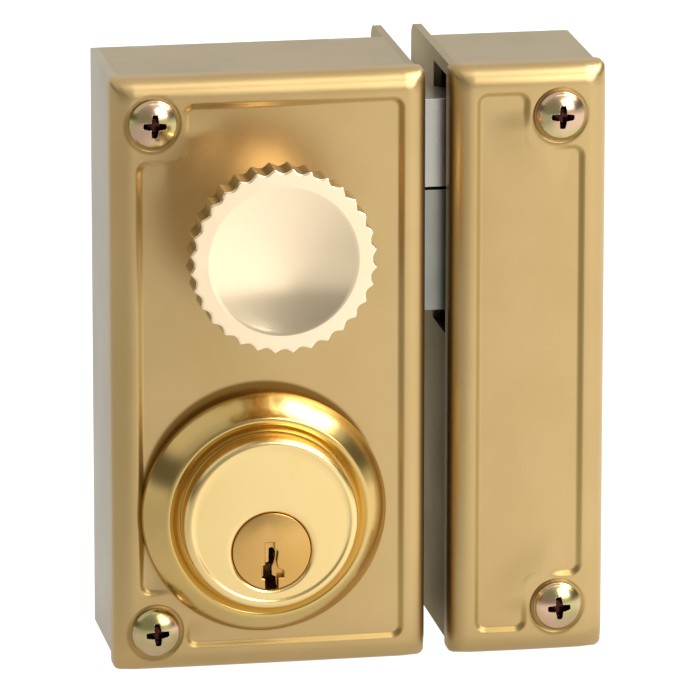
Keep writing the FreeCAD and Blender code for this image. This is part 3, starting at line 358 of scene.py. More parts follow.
def stands_out(mesh):
    """How sharply each point stands out: twice its height over the mean of its neighbours, along its normal,
    over the square of the mean distance to them, in 1/mm."""
    count = len(mesh.vertices)
    place, normal = np.empty(count * 3), np.empty(count * 3)
    mesh.vertices.foreach_get("co", place)
    mesh.vertices.foreach_get("normal", normal)
    ends = np.empty(len(mesh.edges) * 2, int)
    mesh.edges.foreach_get("vertices", ends)
    ends = ends.reshape(-1, 2)
    ends = np.vstack([ends, ends[:, ::-1]])
    place = place.reshape(-1, 3) / MM
    span = place[ends[:, 1]] - place[ends[:, 0]]
    number = np.maximum(np.bincount(ends[:, 0], minlength=count), 1)
    mean = np.stack([np.bincount(ends[:, 0], span[:, i], count) for i in range(3)], -1) / number[:, None]
    length = np.bincount(ends[:, 0], np.hypot(np.hypot(span[:, 0], span[:, 1]), span[:, 2]), count) / number
    return -2 * (mean * normal.reshape(-1, 3)).sum(1) / np.maximum(length, LEAST_LENGTH) ** 2


def build(name, points, faces, material, body, slot, nodes, sharp=40.0, recess=None):
    """Piece from points in millimetres and faces, its doubled points joined and its faces turned outwards.
    Its points carry their share of the paler edge tone, part wear and part painted highlight, from how
    sharply they stand out, and any painted shade given for a recess."""
    mesh = bpy.data.meshes.new(name)
    mesh.from_pydata((np.asarray(points, float) * MM).tolist(), [], faces)
    if recess is not None:
        mesh.attributes.new("recess", "FLOAT", "POINT").data.foreach_set("value", recess)
    shape = bmesh.new()
    shape.from_mesh(mesh)
    bmesh.ops.remove_doubles(shape, verts=shape.verts, dist=SAME_POINT)
    bmesh.ops.recalc_face_normals(shape, faces=shape.faces)
    shape.to_mesh(mesh)
    shape.free()
    wear_and_highlight = ramp(stands_out(mesh) - WEAR_AND_HIGHLIGHT_FROM, WEAR_AND_HIGHLIGHT_FULL - WEAR_AND_HIGHLIGHT_FROM)
    mesh.attributes.new("wear_and_highlight", "FLOAT", "POINT").data.foreach_set("value", wear_and_highlight)
    return placed(name, mesh, material, body, nodes, sharp)


def quads(index, around=False):
    """Quads of a grid of point numbers; the last column meets the first if it goes around."""
    if around:
        index = np.hstack([index, index[:, :1]])
    return np.stack([index[:-1, :-1], index[:-1, 1:], index[1:, 1:], index[1:, :-1]], -1).reshape(-1, 4)


def grid_faces(rows, columns, around=False):
    """Quads of a grid of points stored row by row."""
    return quads(np.arange(rows * columns).reshape(rows, columns), around)


def ramp(distance, width):
    """Smooth step from 0 to 1 as the distance goes from 0 to the width."""
    t = np.clip(distance / width, 0, 1)
    return t * t * (3 - 2 * t)


def round_less(a, b, radius):
    """Smaller of two distances, with the corner where both are small rounded by the radius."""
    corner = radius - np.hypot(np.maximum(radius - a, 0), np.maximum(radius - b, 0))
    return np.where((a < radius) & (b < radius), corner, np.minimum(a, b))


def lines(low, high, coarse, fine):
    """Grid lines from low to high, a coarse step apart, and closer within reach of each (place, reach,
    step)."""
    at = np.append(np.arange(low, high, LINE_STEP), high)
    step = np.full(at.size, coarse)
    for place, reach, close in fine:
        step = np.where(abs(at - place) < reach, np.minimum(step, close), step)
    passed = np.cumsum(LINE_STEP / step)
    return np.interp(np.linspace(passed[0], passed[-1], int(passed[-1]) + 2), passed, at)


def banded(inner):
    """Grid lines with the corner and roll bands added at both ends: base line, band position and side."""
    bands = np.concatenate([[1], 1 + np.arange(1, ROLL_STEPS + 1) / ROLL_STEPS, SKIRT_BANDS])
    ends = np.ones(bands.size)
    return (np.concatenate([inner[0] * ends, inner, inner[-1] * ends]),
            np.concatenate([bands[::-1], 0 * inner, bands]),
            np.concatenate([-ends, 0 * inner, ends]))


def pan_sheet(across, up, inset, depth):
    """One side of a pressed pan. Inside the corner centres the grid is flat. Outside them the bands 0 to 1,
    1 to 2 and 2 to 3 are the flat margin, the quarter-round roll and the skirt. At a corner the larger of
    the two band positions sets the ring and their ratio the angle, and the arc grows squarer through the
    roll. The face falls back with the square of the distance to its middle line, and depth sinks it."""
    x, px, sx = (a[None, :] for a in across)
    z, pz, sz = (a[:, None] for a in up)
    ring = np.maximum(px, pz)
    turn = np.minimum(px, pz) / np.maximum(ring, TINY) * (math.pi / 4)
    go_x = np.where(px >= pz, np.cos(turn), np.sin(turn))
    go_z = np.where(px >= pz, np.sin(turn), np.cos(turn))
    squared = 1 - CORNER_SQUARED * np.clip(ring - 1, 0, 1)
    go_x, go_z = go_x ** squared, go_z ** squared
    roll = ROLL_R - inset
    flat = CORNER_R - ROLL_R
    angle = np.clip(ring - 1, 0, 1) * (math.pi / 2)
    out = flat * np.minimum(ring, 1) + roll * np.sin(angle)
    y = FRONT + inset + roll * (1 - np.cos(angle))
    y = y + np.clip(ring - 2, 0, 1) * (SKIRT_END - (FRONT + inset + roll))
    middle, half = (x.min() + x.max()) / 2, (x.max() - x.min()) / 2
    x, z = x + sx * go_x * out, z + sz * go_z * out
    y = y + BOW * ((x - middle) / half) ** 2
    return np.stack([x, y + depth(x, z, y, inset), z], -1).reshape(-1, 3)


def shell_with_holes(outer, inner, faces, holes):
    """Closed shell between two sheets of one grid, with holes (x, z, radius) whose rims are moved onto true
    circles."""
    middle = outer[faces].mean(1)
    kept = np.ones(len(faces), bool)
    for x, z, radius in holes:
        kept &= np.hypot(middle[:, 0] - x, middle[:, 2] - z) > radius
    faces = faces[kept]
    edges = np.concatenate([faces[:, [i, (i + 1) % 4]] for i in range(4)])
    _, back, count = np.unique(np.sort(edges, 1), axis=0, return_inverse=True, return_counts=True)
    rim = edges[count[back.ravel()] == 1]
    edge_points = np.unique(rim)
    for sheet in (outer, inner):
        for x, z, radius in holes:
            off = sheet[edge_points][:, [0, 2]] - (x, z)
            far = np.hypot(*off.T)
            near = far < HOLE_REACH * radius
            sheet[np.ix_(edge_points[near], [0, 2])] = (x, z) + off[near] * (radius / far[near])[:, None]
    shift = len(outer)
    sides = np.stack([rim[:, 1], rim[:, 0], rim[:, 0] + shift, rim[:, 1] + shift], -1)
    return np.vstack([outer, inner]), np.vstack([faces, faces[:, ::-1] + shift, sides]).tolist()


def fading(x, z, places, side):
    """Share of the panel's depth: all of it, but in a wedge from each screw towards the panel's middle it
    grows with the distance to the screw."""
    share = 1 + 0 * x
    for sx, sz in places:
        inwards = np.minimum((x - sx) * side, abs(sz) - abs(z))
        near = 1 - ramp(np.hypot(x - sx, z - sz) - SEAT_R - FADE_START, FADE_W)
        share = np.minimum(share, 1 - near * ramp(inwards + WEDGE_START, WEDGE_W))
    return share


def screw_seats(x, z, y, places):
    """Depth that brings the face down to the flat seat inside each seat's circle."""
    sunk = 0 * x
    for sx, sz in places:
        seat = np.maximum(FRONT + SEAT_DEPTH - y, 0)
        sunk = np.maximum(sunk, seat * ramp(SEAT_R - np.hypot(x - sx, z - sz), SEAT_STEP_W))
    return sunk


def pressed(inside, x, z, y, inset, screws, side):
    """Depth of a panel from the distance inside its outline; the front sheet has its screws' seats too."""
    sunk = PANEL_DEPTH * ramp(inside + STEP_OUT + inset * INNER_SHIFT, STEP_W) * fading(x, z, screws, side)
    return sunk if inset else np.maximum(sunk, screw_seats(x, z, y, screws))


def lock_panel(x, z, y, inset):
    """Depth of the lock cover's panel: distance to its notched outline, joined with the rosette's seat."""
    sides = round_less(LOCK_PANEL_X - abs(x), PANEL_HIGH - abs(z), PANEL_CORNER_R)
    notch = -round_less(LOCK_NOTCH_X - x, abs(z) - NOTCH_Z, PANEL_CORNER_R)
    rose_seat = ROSE_R + ROSE_ROOM - np.hypot(x - CYL_X, z - CYL_Z)
    inside = np.maximum(round_less(sides, notch, PANEL_CORNER_R), rose_seat)
    return pressed(inside, x, z, y, inset, LOCK_SCREWS, 1)


def paint_shade_by_recess(material, colour, start, full):
    """Painted shade: turn the material's colour to a darker one where the recess attribute goes from the
    start to full.
    """
    tree = material.node_tree
    deep = add(tree, "ShaderNodeAttribute", attribute_name="recess").outputs["Fac"]
    share = add(tree, "ShaderNodeMapRange", {"Value": deep, "From Min": start, "From Max": full})
    repaint(material, share.outputs[0], colour)


def step_shade(sheet, rows, panel):
    """How steeply the panel sinks at each point, for the front sheet and none for the back one: the change
    of its depth over the change of place, across and up."""
    x, z = sheet[:, 0].reshape(rows, -1), sheet[:, 2].reshape(rows, -1)
    sunk = panel(x, z, FRONT, 0.0)
    across = np.gradient(sunk, axis=1) / np.maximum(abs(np.gradient(x, axis=1)), LEAST_CELL)
    up = np.gradient(sunk, axis=0) / np.maximum(abs(np.gradient(z, axis=0)), LEAST_CELL)
    slope = np.hypot(up, across).ravel()
    return np.concatenate([slope, 0 * slope])


def cover_grid(low, high, steps, screws):
    """Grid lines of a cover, across and up, closer at the panel's steps and at the screws' seats."""
    fine_x = [(x, STEP_REACH, STEP_CELL) for x in steps] + [(screws[0][0], SEAT_REACH, SEAT_CELL)]
    fine_z = [(z, STEP_REACH, STEP_CELL) for z in (-PANEL_HIGH, -NOTCH_Z, NOTCH_Z, PANEL_HIGH)]
    fine_z += [(z, SEAT_REACH, SEAT_CELL) for _, z in screws]
    return (banded(lines(low + CORNER_R, high - CORNER_R, CELL, fine_x)),
            banded(lines(-HALF_HEIGHT + CORNER_R, HALF_HEIGHT - CORNER_R, CELL, fine_z)))


def pressed_cover(name, node, grid, panel, holes):
    """A cover built from its two sheets, with its holes cut and its steps' shade kept on its points."""
    across, up = grid
    front = pan_sheet(across, up, 0.0, panel)
    shade = step_shade(front, up[0].size, panel)
    points, faces = shell_with_holes(front, pan_sheet(across, up, COVER_T, panel),
                                     grid_faces(up[0].size, across[0].size), holes)
    build(name, points, faces, satin_gold, "lock_case", "satin_gold", [node], recess=shade)


satin_gold = metal("satin_gold", (0.54, 0.375, 0.165), (0.565, 0.395, 0.18), 0.36, 0.02, 6000.0, 0.25,
                   (0.66, 0.52, 0.30))
tree = satin_gold.node_tree
place = add(tree, "ShaderNodeTexCoord").outputs["Object"]
level = add(tree, "ShaderNodeVectorMath", {0: place, 1: (1.0, 0.0, 1.0)}, operation="MULTIPLY").outputs[0]
# Painted shade round the rosette and the screw heads: dark discs (x, z, radius, strength) under them,
# set a little off their centres so that a dark crescent shows beside each.
SHADE_CRESCENTS = [(CYL_X - 0.55, CYL_Z + 2.4, 22.8, 0.9)]
SHADE_CRESCENTS += [(x - 0.25, z - 0.55, SEAT_R - 0.15, 0.6) for x, z in LOCK_SCREWS + KEEPER_SCREWS]
SHADE_CRESCENT_EDGE = 0.4
for x, z, radius, strength in SHADE_CRESCENTS:
    aside = add(tree, "ShaderNodeVectorMath", {0: level, 1: (x * MM, 0.0, z * MM)}, operation="DISTANCE")
    band = smooth_range(tree, aside.outputs["Value"], (radius - SHADE_CRESCENT_EDGE) * MM,
                        (radius + SHADE_CRESCENT_EDGE) * MM, strength, 0.0)
    repaint(satin_gold, band, (0.17, 0.08, 0.01))
# Painted shade on the keeper cover's roll that faces the bolts across the dark gap.
KEEPER_SIDE = 32.0
ROLL_SHADE_FULL, ROLL_SHADE_NONE, ROLL_SHADE_SHARE = 34.9, 38.0, 0.3
across = add(tree, "ShaderNodeSeparateXYZ", {0: level}).outputs["X"]
facing = smooth_range(tree, across, ROLL_SHADE_FULL * MM, ROLL_SHADE_NONE * MM, ROLL_SHADE_SHARE, 0.0)
beyond = add(tree, "ShaderNodeMath", {0: across, 1: KEEPER_SIDE * MM}, operation="GREATER_THAN")
roll_shade = add(tree, "ShaderNodeMath", {0: facing, 1: beyond.outputs[0]}, operation="MULTIPLY")
repaint(satin_gold, roll_shade.outputs[0], (0.13, 0.085, 0.02))
# Painted shade where the panel's steps and the screws' seats slope.
paint_shade_by_recess(satin_gold, (0.39, 0.262, 0.09), 0.08, 0.65)
lock_holes = [(CYL_X, CYL_Z, CYL_HOLE_R), (CYL_X, KNOB_Z, KNOB_HOLE_R)]
lock_holes += [(x, z, SCREW_HOLE_R) for x, z in LOCK_SCREWS]
pressed_cover("lock_cover_pressed", "lock_cover",
              cover_grid(-HALF_WIDTH, HALF_WIDTH, (-LOCK_PANEL_X, LOCK_NOTCH_X, LOCK_PANEL_X), LOCK_SCREWS),
              lock_panel, lock_holes)


# Cover screws: pan heads with a tapered cross recess, two on the lock and two on the keeper.
# Steel, yellow-passivated zinc; they go through the covers into the posts.
HEAD_R = 4.6
HEAD_RIM_H = 0.9
HEAD_H = 2.7
HEAD_CELLS = 92
HEAD_EDGE_W, HEAD_EDGE_DROP = 0.5, 0.22
CROSS_HALF = 2.15
CROSS_DEPTH = 1.9
ARM_HALF_W, ARM_TAPER = 0.74, 0.13
ARM_END_DEPTH, ARM_SLOPE = 0.6, 1.3
ARM_EDGE_OUT, ARM_EDGE_W = 0.06, 0.26
SHANK_R, SHANK_LENGTH = 2.0, 11.5
TIP_R, TIP_END = 1.4, 12.0
SCREW_TURNS = (0.06, -0.03)


def disc_grid(cells, radius):
    """Square grid drawn onto a disc: each square ring becomes a circle, and its corners its diagonals."""
    side = np.linspace(-1, 1, cells + 1)
    a, b = np.meshgrid(side, side)
    ring = np.maximum(abs(a), abs(b))
    octant = np.minimum(abs(a), abs(b)) / np.maximum(ring, TINY) * (math.pi / 4)
    wide = abs(a) >= abs(b)
    ca, cb = np.where(wide, np.cos(octant), np.sin(octant)), np.where(wide, np.sin(octant), np.cos(octant))
    return radius * ring * ca * np.sign(a), radius * ring * cb * np.sign(b)


def pan_head(x, z, turn):
    """Points and faces of one screw: the domed head on a disc grid, sunk by the distance to a cross whose
    arms narrow outwards, then its rim, underside and shank as rings that end in a flat tip."""
    gx, gz = disc_grid(HEAD_CELLS, HEAD_R)
    far = np.hypot(gx, gz)
    ball = (HEAD_R ** 2 + (HEAD_H - HEAD_RIM_H) ** 2) / (2 * (HEAD_H - HEAD_RIM_H))
    dome = np.sqrt(ball ** 2 - far ** 2) - (ball - (HEAD_H - HEAD_RIM_H))
    dome = dome - HEAD_EDGE_DROP * ramp(far - HEAD_R + HEAD_EDGE_W, HEAD_EDGE_W)
    u, v = gx * math.cos(turn) + gz * math.sin(turn), gz * math.cos(turn) - gx * math.sin(turn)
    sunk = 0 * far
    for along, side in ((u, v), (v, u)):
        half = ARM_HALF_W - ARM_TAPER * abs(along)
        edge = np.minimum(half - abs(side), CROSS_HALF - abs(along))
        slope = np.minimum(CROSS_DEPTH, ARM_END_DEPTH + ARM_SLOPE * (CROSS_HALF - abs(along)))
        sunk = np.maximum(sunk, slope * ramp(edge + ARM_EDGE_OUT, ARM_EDGE_W))
    seat = FRONT + SEAT_DEPTH
    top = np.stack([gx + x, seat - HEAD_RIM_H - dome + sunk, gz + z], -1)
    loop = np.concatenate([np.arange(HEAD_CELLS), np.arange(1, HEAD_CELLS + 1) * (HEAD_CELLS + 1) - 1,
                           (HEAD_CELLS + 1) ** 2 - 1 - np.arange(HEAD_CELLS),
                           (HEAD_CELLS - np.arange(HEAD_CELLS)) * (HEAD_CELLS + 1)])
    points = top.reshape(-1, 3)
    way = (points[loop][:, [0, 2]] - (x, z)) / HEAD_R
    rings = [(HEAD_R, seat), (SHANK_R, seat), (SHANK_R, seat + SHANK_LENGTH), (TIP_R, seat + TIP_END)]
    under = np.concatenate([np.stack([x + way[:, 0] * r, np.full(len(way), y), z + way[:, 1] * r], -1)
                            for r, y in rings])
    count = len(loop)
    index = np.concatenate([[loop], len(points) + np.arange(len(rings) * count).reshape(-1, count)])
    faces = grid_faces(HEAD_CELLS + 1, HEAD_CELLS + 1).tolist()
    faces += quads(index, True).tolist() + [index[-1].tolist()]
    return np.vstack([points, under]), faces, np.append(sunk / CROSS_DEPTH, np.zeros(len(under)))


def cover_screws(name, places, node):
    """The cover screws of one case as one piece, each turned a little differently."""
    points, faces, recess = [], [], []
    for (x, z), turn in zip(places, SCREW_TURNS):
        p, f, deep = pan_head(x, z, turn)
        shift = sum(len(q) for q in points)
        faces += [[i + shift for i in face] for face in f]
        points.append(p)
        recess.append(deep)
    return build(name, np.vstack(points), faces, yellow_zinc, "lock_case", "yellow_zinc", [node],
                 recess=np.concatenate(recess))


yellow_zinc = metal("yellow_zinc", (0.50, 0.44, 0.19), (0.66, 0.43, 0.30), 0.20, 0.08, 2500.0, 0.15,
                    (0.74, 0.66, 0.48), clouds=230.0)
# Painted shade in the cross recesses.
paint_shade_by_recess(yellow_zinc, (0.055, 0.018, 0.016), 0.05, 0.4)
cover_screws("lock_screw_heads", LOCK_SCREWS, "lock_cover_screws")


# Rosette: the turned brass ring round the cylinder, with a low rim, a slope up to its crest and a short
# inner fall. Polished and lacquered; the cylinder's fixing pulls it against the cover's panel.
TURNS = 192
PANEL = FRONT + PANEL_DEPTH
CYL_R = 16.6
EVEN_STEP, KEPT_STEP = 0.06, 4
ROSE_RIM_H = 2.0
CREST_R, CREST_H = CYL_R + 2.55, 6.6
GROOVE_R, GROOVE_H = CYL_R + 0.7, 5.1
ROSE_BORE_R = CYL_R + 0.05
SLOPE_RISE, CREST_RISE = 0.3, 0.2
ROSE_SOFT = 1.5


def arc(a, b, rise, count=16):
    """Profile points from a to b on an arc whose middle stands out to the front by the rise."""
    a, b = np.array(a, float), np.array(b, float)
    run = b - a
    share = np.linspace(0, 1, count)[:, None]
    side = np.array([-run[1], run[0]]) / np.hypot(*run)
    return a + run * share + side * (4 * rise * share * (1 - share))


def softened(profile, window):
    """Profile resampled at even steps and averaged over a window, which rounds its corners by about as
    much."""
    reach = np.concatenate([[0], np.cumsum(np.hypot(*np.diff(profile, axis=0).T))])
    even = np.arange(0, reach[-1], EVEN_STEP)
    line = np.stack([np.interp(even, reach, profile[:, i]) for i in (0, 1)], -1)
    half = int(window / (2 * EVEN_STEP))
    padded = np.vstack([line[:1]] * half + [line] + [line[-1:]] * half)
    sums = np.cumsum(np.vstack([[[0, 0]], padded]), axis=0)
    smooth = (sums[2 * half + 1:] - sums[:-2 * half - 1]) / (2 * half + 1)
    return np.vstack([profile[:1], smooth[::KEPT_STEP], profile[-1:]])


def turned(profile, x, z, turns):
    """Points and faces of a (radius, y) profile turned round the Y axis at x, z, its ends not joined."""
    angle = np.arange(turns) * (2 * math.pi / turns)
    radius = profile[:, :1]
    y = np.repeat(profile[:, 1:], turns, 1)
    points = np.stack([x + radius * np.cos(angle), y, z + radius * np.sin(angle)], -1)
    return points.reshape(-1, 3), grid_faces(len(profile), turns, True).tolist()


polished_brass = metal("polished_brass", (0.62, 0.43, 0.15), (0.65, 0.455, 0.17), 0.19, 0.05, 3000.0, 0.06,
                       (0.80, 0.62, 0.33), (TURNING, "Centre", (CYL_X * MM, 0.0, CYL_Z * MM), 1.0))
rose = np.vstack([arc((ROSE_R, PANEL), (ROSE_R, PANEL - ROSE_RIM_H), 0, 5),
                  arc((ROSE_R, PANEL - ROSE_RIM_H), (CREST_R, PANEL - CREST_H), SLOPE_RISE),
                  arc((CREST_R, PANEL - CREST_H), (GROOVE_R, PANEL - GROOVE_H), CREST_RISE),
                  arc((GROOVE_R, PANEL - GROOVE_H), (ROSE_BORE_R, PANEL - GROOVE_H), 0, 3)])
rose = np.vstack([softened(rose, ROSE_SOFT), [(ROSE_BORE_R, PANEL + BOW), (ROSE_R, PANEL + BOW)]])
build("rosette_ring", *turned(rose, CYL_X, CYL_Z, TURNS), polished_brass, "lock_case", "polished_brass",
      ["cylinder_rosette"])


# Cylinder: the round brass body whose face carries the key plug low down.
# Turned, satin finished and lacquered; two screws in pillars hold it from the back plate.
CYL_FRONT = -45.0
CYL_BACK = -19.0
CYL_WIDEST = -40.0
FACE_SUNK = 0.25
FACE_R = 14.75
RIM_R, RIM_ROUND = 15.3, 1.3
BORE_R = 7.55
BORE_LIP = [(0.0, 0.6), (0.06, 0.4), (0.40, 0.06), (0.52, 0.0)]
FACE_FROM = 0.55
TENTHS = np.linspace(0.1, 1, 10)


def ring_stack(rings, x, turns):
    """Points and faces of rings given as (z of the centre, radius, y), each joined to the next and the last
    to the first."""
    angle = np.arange(turns) * (2 * math.pi / turns)
    rings = np.array(rings + rings[:1], float)
    z, radius, y = (rings[:, i:i + 1] for i in range(3))
    points = np.stack([x + radius * np.cos(angle), y + 0 * angle, z + radius * np.sin(angle)], -1)
    return points.reshape(-1, 3), grid_faces(len(rings), turns, True).tolist()


def housing_rings():
    """Rings from the bore's back to its front, over the face out to the rim, round the edge and back."""
    face = CYL_FRONT + FACE_SUNK
    rings = [(PLUG_Z, BORE_R, CYL_BACK)]
    rings += [(PLUG_Z, BORE_R + out, face + back) for out, back in BORE_LIP]
    radius = BORE_R + FACE_FROM
    for share in TENTHS:
        rings.append((PLUG_Z + (CYL_Z - PLUG_Z) * share, radius + (FACE_R - radius) * share, face))
    rings += [(CYL_Z, FACE_R + 0.15, face - 0.05), (CYL_Z, RIM_R - 0.2, CYL_FRONT + 0.03),
              (CYL_Z, RIM_R, CYL_FRONT)]
    for turn in TENTHS * (math.pi / 2):
        rings.append((CYL_Z, RIM_R + RIM_ROUND * math.sin(turn),
                      CYL_FRONT + RIM_ROUND * (1 - math.cos(turn))))
    return rings + [(CYL_Z, CYL_R, CYL_WIDEST), (CYL_Z, CYL_R, CYL_BACK)]


cylinder_brass = metal("cylinder_brass", (0.86, 0.63, 0.27), (0.88, 0.655, 0.295), 0.25, 0.03, 3000.0, 0.04,
                       (0.93, 0.76, 0.46), (TURNING, "Centre", (CYL_X * MM, 0.0, CYL_Z * MM), 1.0))
build("cylinder_body", *ring_stack(housing_rings(), CYL_X, TURNS), cylinder_brass, "lock_case",
      "cylinder_brass", ["cylinder_housing"])
dress(cylinder_brass, "cylinder_brass", "chamber_caps")


# Key plug: the turning core with its crooked key slot, and the crank and clip on its back end.
# Turned brass, a little warmer than the body; the slot is broached through to its underside.
PLUG_FRONT = CYL_FRONT + 0.45
PLUG_R = 7.5
KEYWAY = [(1.2, -5.2), (2.3, -5.2), (2.3, -3.9), (1.2, -3.4), (0.95, -2.0), (1.2, -0.1), (1.0, 0.2),
          (0.5, 0.5), (0.5, 1.7), (-1.2, 1.7), (-1.2, -2.6), (-1.8, -3.0), (-1.8, -5.2), (-1.25, -5.4)]
WARDED = [(0.95, -5.6), (0.9, -5.4), (0.3, -5.0), (0.25, -3.4), (0.6, -2.6), (0.85, -1.6), (0.9, -0.4),
          (0.6, 0.2), (0.2, 0.4), (-0.35, 0.2), (-0.4, -2.4), (-1.4, -2.9), (-1.45, -5.2), (-1.2, -5.5)]
WARD_DEPTH = 1.6
LIP = 1.2
PLUG_POINTS = 150
PLUG_CHAMFER = [(0.34, 0.16, 0.0), (0.10, 0.05, 0.10), (0.0, 0.0, 0.34)]
WARD_STEP = 0.1


def plug_outline(slot, ease, slot_ease):
    """Loop of the plug's section: the circle, less the ease, from one lip of the slot round to the other,
    then the slot, whose points move into the metal by the slot's ease along the mean of their sides'
    normals."""
    lip = math.asin((LIP + slot_ease) / (PLUG_R - ease))
    angle = np.linspace(-math.pi / 2 + lip, 1.5 * math.pi - lip, PLUG_POINTS)
    circle = (PLUG_R - ease) * np.stack([np.cos(angle), np.sin(angle)], -1)
    path = np.vstack([[(-LIP, -PLUG_R)], slot[::-1], [(LIP, -PLUG_R)]])
    run = np.diff(path, axis=0)
    side = np.stack([-run[:, 1], run[:, 0]], -1) / np.hypot(*run.T)[:, None]
    mean = side[:-1] + side[1:]
    moved = path[1:-1] + 2 * slot_ease * mean / (mean ** 2).sum(1, keepdims=True)
    return np.vstack([circle, moved])


def plug_piece():
    """The plug as its outline drawn along Y: a small chamfer in front, walls, the slot's step inwards to its
    wards, and a squared end behind."""
    mouth, wards = plug_outline(KEYWAY, 0, 0), plug_outline(WARDED, 0, 0)
    rings = [(plug_outline(KEYWAY, ease, slot_ease), PLUG_FRONT + depth)
             for ease, slot_ease, depth in PLUG_CHAMFER]
    rings += [(mouth, PLUG_FRONT + WARD_DEPTH), (wards, PLUG_FRONT + WARD_DEPTH + WARD_STEP),
              (wards, CYL_BACK)]
    points = np.concatenate([np.stack([CYL_X + p[:, 0], np.full(len(p), y), PLUG_Z + p[:, 1]], -1)
                             for p, y in rings])
    count = len(rings[0][0])
    faces = grid_faces(len(rings), count, True).tolist()
    faces += [list(range(count)), list(range((len(rings) - 1) * count, len(rings) * count))]
    return points, faces


plug_brass = metal("plug_brass", (0.63, 0.365, 0.105), (0.66, 0.40, 0.13), 0.26, 0.05, 3000.0, 0.06,
                   (0.78, 0.58, 0.30), (TURNING, "Centre", (CYL_X * MM, 0.0, PLUG_Z * MM), 1.0))
build("plug_core", *plug_piece(), plug_brass, "key_plug", "plug_brass", ["cylinder_plug"], 25.0)
pin_brass = metal("pin_brass", (0.72, 0.55, 0.28), (0.78, 0.60, 0.32), 0.28, 0.06)
dress(pin_brass, "pin_brass", "key_pins", "driver_pins")


# Knob bush and nut: the flanged bearing in the cover, with its nut inside.
# Turned brass; the spindle runs in it and a clip holds the spindle behind the nut.
bush_brass = metal("bush_brass", (0.62, 0.46, 0.22), (0.68, 0.52, 0.28), 0.26, 0.08)
dress(bush_brass, "bush_brass", "knob_bush", "bush_nut", "spindle_rear_bush")


# Knob: a fluted rim with a dished face on a tapered neck, clamped on the spindle by its grub screw.
# Turned from pale brass and polished; its rim's side wall is painted darker as shade, most in the flutes.
KNOB_FRONT = -59.0
KNOB_BACK = -36.1
KNOB_R = 17.5
FLUTES = 32
FLUTE_DEPTH = 0.8
TIP_ROUND = 0.22
FRONT_BEVEL = 0.3
RIM_BACK = KNOB_FRONT + 7.0
DISH_R = 14.1
DISH_DEPTH = 1.9
SHOULDER_R, CONE_R = 12.6, 12.0
CONE_LENGTH = 4.8
NECK_R, NECK_EASE = 8.0, 0.2
RIM_EASE = 0.6
KNOB_BORE_R, KNOB_BORE_DEPTH = 3.5, 14
POINTS_PER_FLUTE = 14
WALL_ROWS = 10
SIDE_SHADE_W = 0.5
SIDE_SHADE_ALL_OVER, SIDE_SHADE_IN_FLUTES = 0.45, 0.55


def knob_piece():
    """The knob's profile from the dish's middle over the rim to the bore. Scallops reduce the rim's radius
    by the size of the cosine of half the flutes' angle, so they are round in the middle and meet in narrow
    tips. The third value is how fully a profile point is fluted."""
    dish_r = np.linspace(0, DISH_R, 22)
    ball = (DISH_R ** 2 + DISH_DEPTH ** 2) / (2 * DISH_DEPTH)
    dish_y = KNOB_FRONT + DISH_DEPTH - ball + np.sqrt(ball ** 2 - dish_r ** 2)
    dish = np.stack([dish_r, dish_y, 0 * dish_r], -1)
    turn = np.linspace(0, math.pi / 2, 9)
    bevel = np.stack([KNOB_R + FRONT_BEVEL * (np.sin(turn) - 1),
                      KNOB_FRONT + FRONT_BEVEL * (1 - np.cos(turn)), 1 + 0 * turn], -1)
    bore_end = KNOB_BACK - KNOB_BORE_DEPTH
    back = np.array([(KNOB_R, RIM_BACK - RIM_EASE, 1), (KNOB_R - RIM_EASE, RIM_BACK, 0.5),
                     (SHOULDER_R, RIM_BACK, 0), (CONE_R, RIM_BACK + 0.1, 0),
                     (NECK_R + NECK_EASE, RIM_BACK + CONE_LENGTH, 0),
                     (NECK_R, RIM_BACK + CONE_LENGTH + 2 * NECK_EASE, 0), (NECK_R, KNOB_BACK - NECK_EASE, 0),
                     (NECK_R - NECK_EASE, KNOB_BACK, 0), (KNOB_BORE_R, KNOB_BACK, 0),
                     (KNOB_BORE_R, bore_end, 0), (0, bore_end, 0)])
    flat = np.array([(DISH_R + 0.1, KNOB_FRONT, 0), (15.6, KNOB_FRONT, 0), (16.6, KNOB_FRONT, 0.6)])
    wall_y = np.linspace(KNOB_FRONT + 0.8, RIM_BACK - 1.1, WALL_ROWS)
    walls = np.stack([np.full(WALL_ROWS, KNOB_R), wall_y, np.ones(WALL_ROWS)], -1)
    profile = np.vstack([dish, flat, bevel, walls, back])
    turns = POINTS_PER_FLUTE * FLUTES
    angle = np.arange(turns) * (2 * math.pi / turns)
    wave = np.hypot(np.cos(FLUTES / 2 * angle), TIP_ROUND) - TIP_ROUND
    wave = FLUTE_DEPTH * wave / wave.max()
    radius = profile[:, :1] - profile[:, 2:] * wave
    behind = ramp(profile[:, 1:2] - KNOB_FRONT - FRONT_BEVEL, SIDE_SHADE_W) * (profile[:, 2:] > 0)
    side_shade = behind * (SIDE_SHADE_ALL_OVER + SIDE_SHADE_IN_FLUTES * wave / FLUTE_DEPTH)
    points = np.stack([CYL_X + radius * np.cos(angle), profile[:, 1:2] + 0 * angle,
                       KNOB_Z + radius * np.sin(angle)], -1)
    return points.reshape(-1, 3), grid_faces(len(profile), turns, True).tolist(), side_shade.ravel()


knob_brass = metal("knob_brass", (0.93, 0.74, 0.50), (0.95, 0.76, 0.53), 0.17, 0.05, 3000.0, 0.05,
                   (0.98, 0.88, 0.68), (TURNING, "Centre", (CYL_X * MM, 0.0, KNOB_Z * MM), 1.0))
# Painted shade on the rim's side wall, darkest in the flutes.
paint_shade_by_recess(knob_brass, (0.34, 0.24, 0.09), 0.0, 1.0)
points, faces, side_shade = knob_piece()
build("knob_turned", points, faces, knob_brass, "knob", "knob_brass", ["knob"], 35.0, side_shade)


